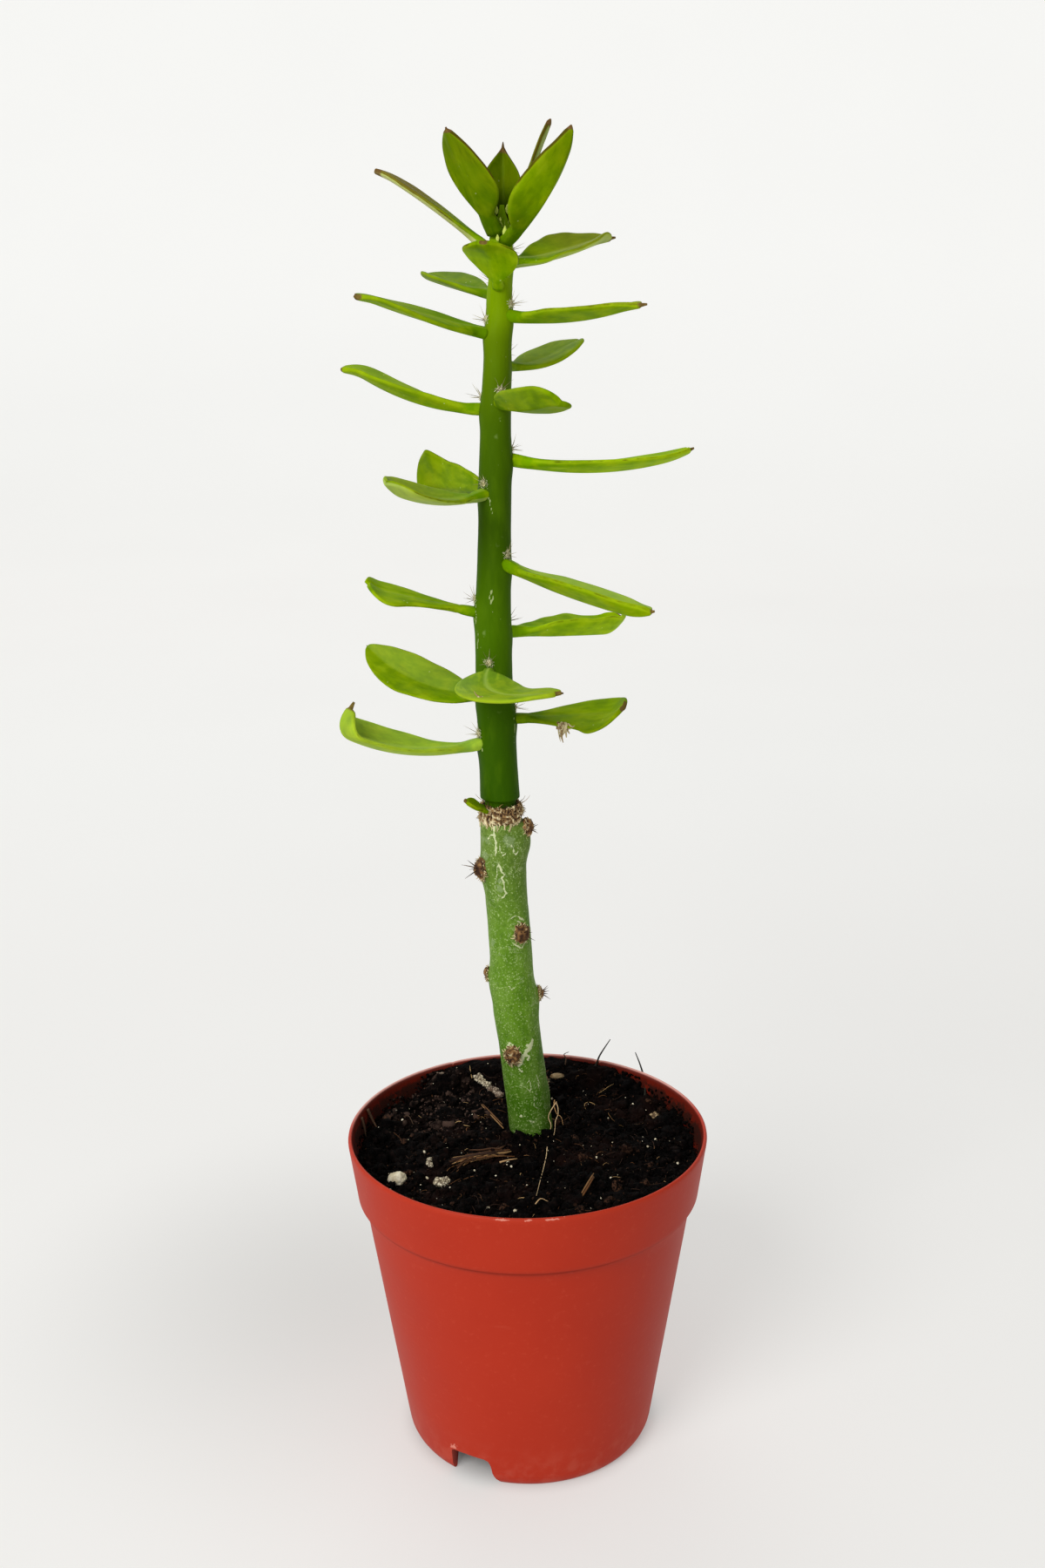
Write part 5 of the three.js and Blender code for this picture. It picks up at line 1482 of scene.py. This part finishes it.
def label_pot(made):
    """Marks where the pot's finish changes: its inner face and the collar's edge, painted darker as shadow;
    its lip, painted lighter as a highlight; its scuffs and its dusty parts.
    """
    places = np.array([v.co for v in made.data.vertices]) / MM
    reach = np.hypot(places[:, 0], places[:, 1])
    azimuth = np.arctan2(places[:, 1], places[:, 0])
    height = places[:, 2]
    # The inner face, which the finish paints dark as shade
    inside = ((along_table(height, OUTER_WALL) - reach) > 0.3) & (height < 49.8)
    scuff = np.zeros(len(places))
    for turn, tall, half_length, half_height in POT_SCUFFS_AND_HIGHLIGHTS:
        across = turn_from(turn, azimuth) * reach
        gap = np.hypot(across / half_length, (height - tall) / half_height)
        scuff = np.maximum(scuff, (1 - smooth_step(gap, 0.4, 1.3)) * ~inside)
    for turn, width, _ in LIP_NICKS:
        across = turn_from(turn, azimuth) * reach
        near = np.exp(-(across / width * 1.7) ** 4) * smooth_step(height, 49.2, 49.7)
        scuff = np.maximum(scuff, near * 0.5)
    # The back of the lip, which the finish paints pale as a highlight
    behind = smooth_step(np.sin(azimuth - 0.1), 0.0, 0.5)
    marks = {
        "inside": inside,
        "scuff": scuff,
        # The lip, which the finish paints lighter as a highlight
        "rim": smooth_step(height, LIP_START, 49.7),
        # The collar's lower edge, which the finish paints darker as shade
        "collar": np.exp(-((height - COLLAR_EDGE) / 0.35) ** 2) * ~inside,
        "dust": inside * smooth_step(height, 44.0, 46.5) * (1 - smooth_step(height, 48.2, 49.8)),
        "back_lip": behind * smooth_step(height, 49.6, 49.85),
        "foot": (1 - smooth_step(height, 2.0, 9.0)) * ~inside,
    }
    carry(made.data, marks)
    made.data.shade_smooth()
    soften_creases(made.data, CREASE_ANGLE)


def soften_creases(mesh, degrees):
    """Edges stay sharp where two faces meet at more than this angle."""
    grid = bmesh.new()
    grid.from_mesh(mesh)
    for edge in grid.edges:
        if len(edge.link_faces) == 2:
            edge.smooth = edge.calc_face_angle(0.0) < math.radians(degrees)
    grid.to_mesh(mesh)
    grid.free()


# Soil
def wall_radius(height):
    return along_table(height, INNER_WALL)


def wall_pile(x, y):
    """How far the soil rises towards the wall."""
    azimuth = np.degrees(np.arctan2(y, x))
    return along_table(azimuth, WALL_PILE) * smooth_step(np.hypot(x, y), 20.5, 25.8)


def mound(x, y, height, middle_x, middle_y, reach_x, reach_y):
    """How high a mound stands at a place."""
    return height * np.exp(-((x - middle_x) / reach_x) ** 2 - ((y - middle_y) / reach_y) ** 2)


def soil_height(x, y):
    """The soil's mean height at a place: level and a little wavy, with its mounds."""
    edge = np.hypot(x, y) / RIM_RADIUS
    waves = 0.35 * np.sin(0.42 * x + 1.1) * np.cos(0.36 * y) + 0.25 * np.sin(0.95 * y - 0.6 * x)
    heaped = sum(mound(x, y, *heap) for heap in SOIL_HEAPS)
    level = SOIL_LEVEL + waves + mound(x, y, *SOIL_MOUND) + heaped
    level = level - 2.1 * (x / RIM_RADIUS) ** 2 + 0.02 * x - 0.5 * edge ** 6
    return np.minimum(level + wall_pile(x, y), RIM_HEIGHT - 0.4)


def make_soil(finish):
    angles = np.arange(SOIL_SPOKES) * 2 * math.pi / SOIL_SPOKES
    shares = (np.arange(SOIL_RINGS, 0, -1) / SOIL_RINGS) ** 0.85
    at_wall = soil_height(26.0 * np.cos(angles), 26.0 * np.sin(angles))
    reach = np.outer(shares, wall_radius(np.minimum(at_wall, 49.5)) - 0.1)
    turn = np.tile(angles, (SOIL_RINGS, 1))
    x = (reach * np.cos(turn)).ravel()
    y = (reach * np.sin(turn)).ravel()
    flat = np.stack([x, y, np.zeros(len(x))], axis=1)
    relief = 0.55 * rough(flat, 4.0, 5, 3.0) + 0.6 * lumps(flat, 3.0, 5.0) + 0.34 * lumps(flat, 1.4, 2.0)
    relief = relief + 0.2 * lumps(flat, 0.7, 4.0) - 0.6
    relief = relief * (1 - 0.4 * smooth_step(np.hypot(x, y), 25.0, 25.9))
    rows = []
    for radius, height in SOIL_SIDE:
        level = np.full(SOIL_SPOKES, height)
        rows.append(np.stack([radius * np.cos(angles), radius * np.sin(angles), level], axis=1))
    rows.append(np.stack([x, y, np.minimum(soil_height(x, y) + relief, 49.9)], axis=1))
    faces = loops_to_faces(len(SOIL_SIDE) + SOIL_RINGS, SOIL_SPOKES)
    tones = [np.full(len(SOIL_SIDE) * SOIL_SPOKES, 0.2), 0.35 + 0.5 * rough(flat, 1.4, 3, 8.0)]
    values = {"tone": np.clip(np.concatenate(tones), 0, 1)}
    piece("soil_surface", np.concatenate(rows), faces, finish, values, ("soil",))


def lump_shape(detail):
    """A ball of triangles, as points and faces."""
    grid = bmesh.new()
    bmesh.ops.create_icosphere(grid, subdivisions=detail, radius=1.0)
    points = np.array([v.co for v in grid.verts])
    faces = [tuple(v.index for v in face.verts) for face in grid.faces]
    grid.free()
    return points, faces


def turned(points, chance):
    """The points turned any way round."""
    axis = Vector(stray(chance)).normalized()
    turn = np.array(Matrix.Rotation(chance.uniform(0, 6.28), 3, axis))
    return points @ turn.T


def crumb_shape(ball, radius, chance, flat=0.7, rugged=0.28):
    points, faces = ball
    seed = Vector((chance.uniform(0, 90), 0, 0))
    swell = np.array([1 + rugged * noise.noise(Vector(p) * 1.6 + seed) * 2 for p in points])
    shaped = points * swell[:, None] * np.array([1.0, chance.uniform(0.6, 1.0), flat])
    return turned(shaped * radius, chance), faces


def spot_on_soil(chance, reach):
    """A random spot on the soil, clear of the stem and of the grains."""
    while True:
        turn = chance.uniform(0, 2 * math.pi)
        radius = reach * math.sqrt(chance.random())
        x = radius * math.cos(turn)
        y = radius * math.sin(turn)
        in_stem = math.hypot(x - STEM_IN_SOIL[0], y - STEM_IN_SOIL[1]) < STEM_CLEARANCE
        in_grain = any(math.hypot(x - gx, y - gy) < r * 1.1 for gx, gy, r in GRAINS)
        if not (in_stem or in_grain):
            return x, y


def on_soil(x, y, above=0.0):
    """A place over the soil's mean height."""
    return np.array([x, y, float(soil_height(x, y)) + above])


def make_crumbs(finish):
    chance = random.Random(CRUMB_SEED)
    coarse = lump_shape(2)
    heap = Heap()
    for _ in range(COARSE_CRUMBS):
        x, y = spot_on_soil(chance, 25.3)
        radius = 0.28 + 0.85 * chance.random() ** 2.6
        points, faces = crumb_shape(coarse, radius, chance, 0.7, 0.42)
        place = on_soil(x, y, radius * chance.uniform(-0.2, 0.5))
        place[2] = min(place[2], 49.6 - radius)
        heap.add(points + place, faces, min(1.0, chance.random() ** 1.6))
    heap.finish("soil_crumbs", finish, "peat")
    fine = lump_shape(1)
    heap = Heap()
    for _ in range(FINE_CRUMBS):
        x, y = spot_on_soil(chance, 25.4)
        radius = chance.uniform(0.1, 0.3)
        points, faces = crumb_shape(fine, radius, chance)
        place = on_soil(x, y, chance.uniform(0.0, 0.5))
        place[2] = min(place[2], RIM_HEIGHT - 0.3 - radius)
        heap.add(points + place, faces, chance.random())
    for middle, spread, count in WALL_CRUMBS:
        for _ in range(count):
            cling_crumb(heap, fine, outward(chance.gauss(middle, spread)), chance)
    heap.finish("soil_fines", finish, "peat")


def cling_crumb(heap, ball, out, chance):
    """A crumb that clings to the wall in this direction, a little over the soil."""
    low = float(soil_height(*(out * 25.3)[:2]))
    height = min(low - 0.2 + abs(chance.gauss(0, 0.8)), 49.1)
    radius = chance.uniform(0.12, 0.45) * (1 - 0.25 * max(0.0, height - low))
    points, faces = crumb_shape(ball, max(radius, 0.08), chance)
    place = out * (float(wall_radius(height)) - radius * 0.5) + UP * height
    heap.add(points + place, faces, chance.random() * 0.8)


def make_pale_specks(finish):
    chance = random.Random(SPECK_SEED)
    ball = lump_shape(1)
    heap = Heap()
    for _ in range(PALE_SPECKS):
        x, y = spot_on_soil(chance, 25.0)
        radius = 0.08 + 0.24 * chance.random() ** 3
        points, faces = crumb_shape(ball, radius, chance, 0.8, 0.35)
        place = on_soil(x, y, chance.uniform(0.15, 0.4))
        heap.add(points + place, faces, chance.uniform(0.3, 1.0))
    heap.finish("pale_specks", finish, "perlite")


def make_fibres(finish):
    """Fine root threads and plant fibres that lie over the soil."""
    chance = random.Random(FIBRE_SEED)
    heap = Heap()
    steps = 7
    for _ in range(SOIL_THREADS):
        x, y = spot_on_soil(chance, 23.8)
        heading = chance.uniform(0, 2 * math.pi)
        length = 0.8 + 2.7 * chance.random() ** 2.5
        path = []
        curve = chance.gauss(0, 1.1)
        arch = chance.uniform(0.0, 0.35)
        for i in range(steps + 1):
            share = i / steps
            if math.hypot(x, y) < 25.0:
                height = float(soil_height(x, y)) + 0.22 + arch * math.sin(math.pi * share)
                path.append((x, y, height))
            x += length / steps * math.cos(heading + curve * share)
            y += length / steps * math.sin(heading + curve * share)
        if len(path) > 3:
            heap.thread(path, chance.uniform(0.03, 0.07), 0.4, 4, chance.random() ** 2.8)
    heap.finish("soil_fibres", finish, "bark")


def smooth_threads(name, finish, threads, end):
    """Threads through a few places each, given as radius, tone and places."""
    heap = Heap()
    for radius, tone, path in threads:
        heap.thread(curve_through(path, 6), radius, end, 6, tone)
    heap.finish(name, finish, "bark")


def make_roots(finish):
    """The few threads of root and hair that stand out."""
    long_hair = [
        on_soil(3.0, -2.0, 0.5), on_soil(2.8, -4.7, 0.6), on_soil(2.3, -7.7, 0.5), on_soil(1.8, -12.0, 0.7),
        on_soil(1.2, -16.8, 0.3),
    ]
    near_root = [
        (4.6, 4.9, 51.9), (4.1, 4.5, 51.3), (3.6, 4.3, 50.5), (3.3, 4.0, 49.7), (3.7, 3.6, 48.6),
        (3.5, 3.0, 47.9), (3.2, 1.8, 47.4),
    ]
    far_root = [
        (4.5, 4.9, 51.9), (4.8, 4.7, 51.0), (4.8, 4.5, 49.9), (4.4, 4.2, 48.9), (4.3, 3.4, 48.0),
        (4.1, 2.4, 47.4),
    ]
    thin_root = [(4.3, 5.0, 52.2), (4.2, 4.7, 51.4), (4.6, 4.3, 50.2), (5.3, 4.2, 49.6), (5.6, 3.9, 48.4)]
    threads = [
        (0.07, 1.0, long_hair),
        (0.09, 0.85, near_root),
        (0.08, 0.9, far_root),
        (0.07, 0.6, thin_root),
        (0.14, 0.7, [on_soil(-4.2, -7.4, 0.9), on_soil(-2.9, -6.7, 1.0), on_soil(-1.6, -6.0, 0.9)]),
        (0.1, 0.75, [on_soil(1.0, -19.0, 0.4), on_soil(1.8, -18.2, 0.7), on_soil(2.9, -18.0, 0.3)]),
    ]
    smooth_threads("root_threads", finish, threads, 0.4)


def make_dark_stalks(finish):
    """Dark dry stalks that stand out of the soil along the wall."""
    tall_stalk = [
        on_soil(11.0, 22.4, -0.3), (11.6, 23.6, 49.4), (12.2, 24.0, 50.8), (13.0, 24.0, 52.2),
        (14.0, 24.0, 53.8),
    ]
    stalks = [
        (0.2, 0.1, tall_stalk),
        (0.2, 0.05, [on_soil(19.2, 15.4, -0.3), (19.5, 19.2, 48.2), (18.9, 21.4, 50.2), (18.1, 22.5, 52.1)]),
        (0.12, 0.4, [on_soil(6.4, 23.6, -0.3), (6.6, 24.4, 50.2), (6.3, 24.6, 50.9), (7.1, 24.5, 51.4)]),
        (0.24, 0.5, [(-25.3, 8.0, 49.4), (-24.9, 8.2, 48.2), (-24.3, 8.0, 46.9), (-23.6, 7.4, 46.0)]),
        (0.2, 0.35, [(-26.0, 5.2, 49.4), (-25.6, 5.0, 47.8), (-25.4, 4.6, 46.4)]),
        (0.12, 0.3, [on_soil(-20.0, 12.0, 0.1), on_soil(-19.0, 10.6, 0.9), on_soil(-18.2, 9.0, 0.4)]),
    ]
    smooth_threads("dark_stalks", finish, stalks, 0.35)


def curve_through(path, steps):
    """A smooth path through these points."""
    path = [np.asarray(p, float) for p in path]
    ends = [2 * path[0] - path[1]] + path + [2 * path[-1] - path[-2]]
    curve = []
    for i in range(1, len(ends) - 2):
        a, b, c, d = ends[i - 1 : i + 3]
        for k in range(steps):
            t = k / steps
            bow = (2 * a - 5 * b + 4 * c - d) * t ** 2
            curve.append(0.5 * (2 * b + (c - a) * t + bow + (3 * b - a - 3 * c + d) * t ** 3))
    curve.append(path[-1])
    return curve


def fibre_strand(heap, sliver, bundled, chance):
    """One strand of a sliver: splayed and wavy in a bundle, straight in a stick."""
    x, y, length, thickness, heading = sliver
    ahead = outward(heading)
    aside = np.array([-ahead[1], ahead[0], 0.0])
    offset = chance.gauss(0, 0.42 if bundled else 0.1) * thickness
    share = chance.uniform(0.4, 1.0) if bundled else chance.uniform(0.85, 1.0)
    slip = chance.uniform(-0.6, 0.6) * (1 - share)
    splay = chance.gauss(0, 0.8 if bundled else 0.02)
    lift = chance.uniform(0.1, 0.7) * thickness + (0.0 if bundled else 0.35)
    steps = 7
    path = []
    for k in range(steps + 1):
        t = k / steps - 0.5
        side = offset + splay * t * abs(t) * 4
        place = np.array([x, y, 0.0]) + ahead * (t * share + slip) * length + aside * side
        path.append(on_soil(place[0], place[1], lift + 0.3 + 0.25 * chance.random() * abs(t)))
    if not bundled:
        path = [path[0] * (1 - k / steps) + path[-1] * (k / steps) for k in range(steps + 1)]
    radius = chance.uniform(0.07, 0.15) * thickness * (1.0 if bundled else 1.7)
    radii = [radius * (0.45 + 0.55 * math.sin(math.pi * (k + 0.6) / 8.2)) for k in range(steps + 1)]
    tone = chance.random() ** 1.7 * 0.9 if bundled else chance.uniform(0.45, 0.75)
    heap.strand(path, radii, 5, tone)


def make_slivers(finish):
    """A thin stick, a splayed bundle of fibres and a short stick."""
    chance = random.Random(SLIVER_SEED)
    for number, sliver in enumerate(SLIVERS, 1):
        heap = Heap()
        bundled = number == FIBRE_BUNDLE
        for _ in range(BUNDLE_STRANDS if bundled else STICK_STRANDS):
            fibre_strand(heap, sliver, bundled, chance)
        heap.finish(f"bark_sliver_{number}_fibres", finish, "bark", (f"bark_sliver_{number}",))


def rough_lump(ball, radius, seed):
    """One bubbly lump, and how hollow each place on it is."""
    points, faces = ball
    swell = lumps(points, 0.8, seed)
    shape = 0.78 + 0.26 * swell + 0.34 * rough(points, 0.9, 4, seed * 3.0)
    return points * shape[:, None] * radius, faces, np.clip(1.2 - 1.2 * swell, 0, 1)


def rough_grain(number):
    """A grain made of several bubbly lumps, and how hollow each place on it is."""
    ball = lump_shape(4)
    points = []
    faces = []
    hollow = []
    for k, (dx, dy, dz, size) in enumerate(GRAIN_LUMPS[number]):
        shaped, triangles, pits = rough_lump(ball, size, number * 1.0 + k * 2.0)
        first = k * len(shaped)
        points.append(shaped + np.array([dx, dy, dz]))
        faces += [tuple(first + corner for corner in face) for face in triangles]
        hollow.append(pits)
    return np.concatenate(points), faces, np.concatenate(hollow)


def smooth_grain(number, radius):
    """A single worn grain, and how hollow each place on it is."""
    points, faces = lump_shape(5)
    shape = 1 + 0.2 * rough(points, 1.1, 3, number * 3.0) + 0.02 * rough(points, 0.2, 2, number * 1.0)
    hollow = np.clip(0.6 * rough(points, 0.7, 3, number * 5.0) - 0.05, 0, 1)
    stretch = (1.2, 0.75, 0.45) if number == LONG_GRAIN else (0.95, 0.8, 0.82)
    return points * shape[:, None] * radius * np.array(stretch), faces, hollow


def make_grains(cream, tan, grey):
    """Lumps of perlite: smooth ones, and rough ones made of several smaller bubbles."""
    for number, (x, y, radius) in enumerate(GRAINS, 1):
        made = rough_grain(number) if number in GRAIN_LUMPS else smooth_grain(number, radius)
        points, faces, hollow = made
        place = on_soil(x, y, radius * 0.3) + np.array(GRAIN_SHIFT.get(number, (0, 0, 0)))
        finish = tan if number in TAN_GRAINS else grey if number in GREY_GRAINS else cream
        values = {"hollow": hollow}
        name = f"perlite_grain_{number}"
        piece(name, points + place, faces, finish, values, (f"perlite_{number}",))


def on_leaf(number, share, across):
    """A place on the upper face of a leaf, with the leaf's side and face there."""
    leaf = LEAVES[number - 1]
    azimuth = leaf_azimuth(number - 1)
    place = leaf_start(leaf, azimuth)
    for k in range(20):
        place = place + midrib_direction(leaf, azimuth, share * (k + 0.5) / 20) * leaf.length * share / 20
    side, face = blade_axes(leaf, azimuth, share, leaf.roll)
    half_width = leaf.width / 2 * float(blade_outline(share, leaf.widest, leaf.taper))
    fold = math.radians(leaf.fold)
    lift = abs(across) * half_width * math.sin(fold) + 0.36
    return place + side * across * half_width * math.cos(fold) + face * lift, side, face


def make_dry_flake(finish):
    """A curled dry flake that clings to the near edge of a low leaf, and scraps on two more."""
    heap = Heap()
    chance = random.Random(SCRAP_SEED)
    for number, share, across, size, count in LEAF_SCRAPS:
        root, side, face = on_leaf(number, share, across)
        along = np.cross(face, side)
        for _ in range(count):
            start = root + side * chance.gauss(0, 0.3) * size + along * chance.gauss(0, 0.4) * size
            heading = side * chance.uniform(-0.4, 1.0) + along * chance.gauss(0, 0.8) - UP * 0.9
            path = bent_path(start, heading, size * chance.uniform(1.0, 2.8), 5, 1.0, chance)
            radius = chance.uniform(0.1, 0.26) * size + 0.03
            heap.thread(path, radius, 0.3, 5, chance.uniform(0.5, 1.0))
    heap.finish("dry_flake", finish, "dry_bark")


# Stage
def studio_paper():
    """Pale paper that glows a little, so that it stays even, with painted light that grows towards the back
    and up the backdrop, and painted shadows by and under the pot.
    """
    finish = Finish("studio_paper", 0.9, 0.1)
    height = finish.node("ShaderNodeSeparateXYZ", {}, {0: finish.place}, output="Z")
    depth = finish.node("ShaderNodeSeparateXYZ", {}, {0: finish.place}, output="Y")
    # Painted light: the glow grows lighter towards the back and up the backdrop
    stops = [
        (0.0, paint(182, 181, 179)), (0.08, paint(184, 183, 181)), (0.16, paint(188, 187, 185)),
        (0.33, paint(194, 194, 192)), (0.66, paint(200, 199, 197)), (1.0, paint(210, 210, 208)),
    ]
    glow = finish.gradient(depth * (1 / 1.2), stops)
    glow = finish.mix(finish.ramp(height, 0.0, 0.22), glow, paint(218, 218, 216))
    # Painted shadow of the pot on the floor to its left
    painted_shadow_beside_pot = finish.ramp(finish.gap_to(PAINTED_SHADOW_MIDDLE), 0.075, 0.0)
    glow = finish.mix(painted_shadow_beside_pot * 0.5, glow, paint(110, 110, 108))
    # Painted shadow on the floor under the pot
    painted_shadow_under_pot = finish.ramp(finish.gap_to((0.0, 0.0, 0.0)), 0.0215, 0.0145)
    glow = finish.mix(painted_shadow_under_pot * 0.9, glow, paint(40, 38, 36))
    finish.feed(finish.shader.inputs["Emission Color"], glow)
    finish.shader.inputs["Emission Strength"].default_value = 1.0
    return finish.wear(finish.mix(finish.cloud(120, 1.0), paint(168, 168, 166), paint(173, 173, 171)))


def make_floor():
    """A pale floor that curves up into a pale backdrop far behind."""
    rows = [(FLOOR_FRONT, 0.0), (SWEEP_START, 0.0)]
    for k in range(1, SWEEP_STEPS + 1):
        turn = math.radians(90 * k / SWEEP_STEPS)
        rows.append((SWEEP_START + SWEEP_RADIUS * math.sin(turn), SWEEP_RADIUS * (1 - math.cos(turn))))
    rows.append((SWEEP_START + SWEEP_RADIUS, BACKDROP_TOP))
    points = []
    for y, z in rows:
        points.append((-FLOOR_HALF_WIDTH, y, z))
        points.append((FLOOR_HALF_WIDTH, y, z))
    faces = loops_to_faces(len(rows), 2, closed=False, capped=False)
    floor = smooth_object("floor", points, faces)
    floor.data.materials.append(studio_paper())


def make_camera():
    pitch = math.radians(CAMERA_PITCH)
    roll = math.radians(CAMERA_ROLL)
    ahead = Vector((0.0, math.cos(pitch), -math.sin(pitch)))
    level_up = Vector((0.0, math.sin(pitch), math.cos(pitch)))
    level_right = Vector((1.0, 0.0, 0.0))
    right = level_right * math.cos(roll) + level_up * math.sin(roll)
    up = level_up * math.cos(roll) - level_right * math.sin(roll)
    lens = bpy.data.cameras.new("camera")
    lens.lens = LENS
    lens.sensor_width = SENSOR
    lens.sensor_fit = "AUTO"
    lens.clip_start = 0.01
    lens.clip_end = 20.0
    camera = bpy.data.objects.new("camera", lens)
    turn = Matrix((right, up, -ahead)).transposed().to_4x4()
    camera.matrix_world = Matrix.Translation(Vector(CAMERA_PLACE)) @ turn
    bpy.context.scene.collection.objects.link(camera)
    bpy.context.scene.camera = camera


def make_lights():
    for name, place, size, power in LAMPS:
        lamp = bpy.data.lights.new(name, "AREA")
        lamp.shape = "DISK"
        lamp.size = size
        lamp.energy = power
        light = bpy.data.objects.new(name, lamp)
        light.location = place
        light.rotation_euler = (Vector(LAMP_TARGET) - Vector(place)).to_track_quat("-Z", "Y").to_euler()
        bpy.context.scene.collection.objects.link(light)
    world = bpy.data.worlds.new("studio")
    world.use_nodes = True
    backdrop = world.node_tree.nodes["Background"]
    backdrop.inputs["Color"].default_value = (1.0, 1.0, 1.0, 1.0)
    backdrop.inputs["Strength"].default_value = ROOM_LIGHT
    bpy.context.scene.world = world
    bpy.context.scene.view_settings.view_transform = "Standard"


def make_plant():
    wool = dry_fibre("areole_wool", paint(58, 34, 18), paint(136, 98, 56), paint(226, 210, 162))
    spine = dry_fibre("spine_horn", paint(34, 22, 14), paint(72, 50, 32), paint(140, 112, 76))
    white_wool = dry_fibre("axil_wool", paint(150, 140, 92), paint(198, 190, 146), paint(234, 228, 196))
    bud_green = dry_fibre("bud_scale", paint(104, 132, 24), paint(158, 184, 52), paint(216, 226, 112))
    bristle = dry_fibre("pale_bristle", paint(120, 108, 72), paint(180, 168, 124), paint(222, 214, 178))
    bark = dry_fibre("dry_bark", paint(58, 36, 20), paint(150, 116, 72), paint(228, 214, 170))
    chance = random.Random(AREOLE_SEED)
    make_old_stem(old_stem_skin())
    make_shoot(shoot_skin())
    make_old_areoles(wool, spine, chance)
    make_axils(white_wool, bud_green, bristle, chance)
    make_bark_ring(bark)
    make_leaves(leaf_skin())
    make_dry_flake(bark)


def make_litter():
    """Bark and threads on the soil."""
    fibre = dry_fibre("bark_fibre", paint(46, 26, 14), paint(112, 72, 38), paint(196, 160, 106))
    root = dry_fibre("root_thread", paint(116, 80, 46), paint(178, 134, 84), paint(216, 186, 142))
    stalk = dry_fibre("dark_stalk", paint(30, 30, 22), paint(84, 60, 42), paint(150, 120, 84))
    make_slivers(fibre)
    make_fibres(fibre)
    make_roots(root)
    make_dark_stalks(stalk)


def make_potting():
    soil = peat()
    cream = perlite("perlite", paint(194, 180, 148), paint(230, 220, 194))
    tan = perlite("perlite_tan", paint(108, 84, 56), paint(176, 152, 116))
    grey = perlite("perlite_grey", paint(120, 100, 84), paint(196, 180, 160))
    make_pot(pot_plastic())
    make_soil(soil)
    make_crumbs(soil)
    make_pale_specks(cream)
    make_grains(cream, tan, grey)


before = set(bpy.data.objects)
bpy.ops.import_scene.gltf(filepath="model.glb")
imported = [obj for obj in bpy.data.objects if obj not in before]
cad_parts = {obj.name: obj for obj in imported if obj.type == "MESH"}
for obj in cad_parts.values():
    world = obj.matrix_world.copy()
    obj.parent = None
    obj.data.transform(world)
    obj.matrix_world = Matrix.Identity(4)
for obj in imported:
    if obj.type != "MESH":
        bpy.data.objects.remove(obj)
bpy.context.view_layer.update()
make_camera()
make_floor()
make_lights()
make_potting()
make_plant()
make_litter()
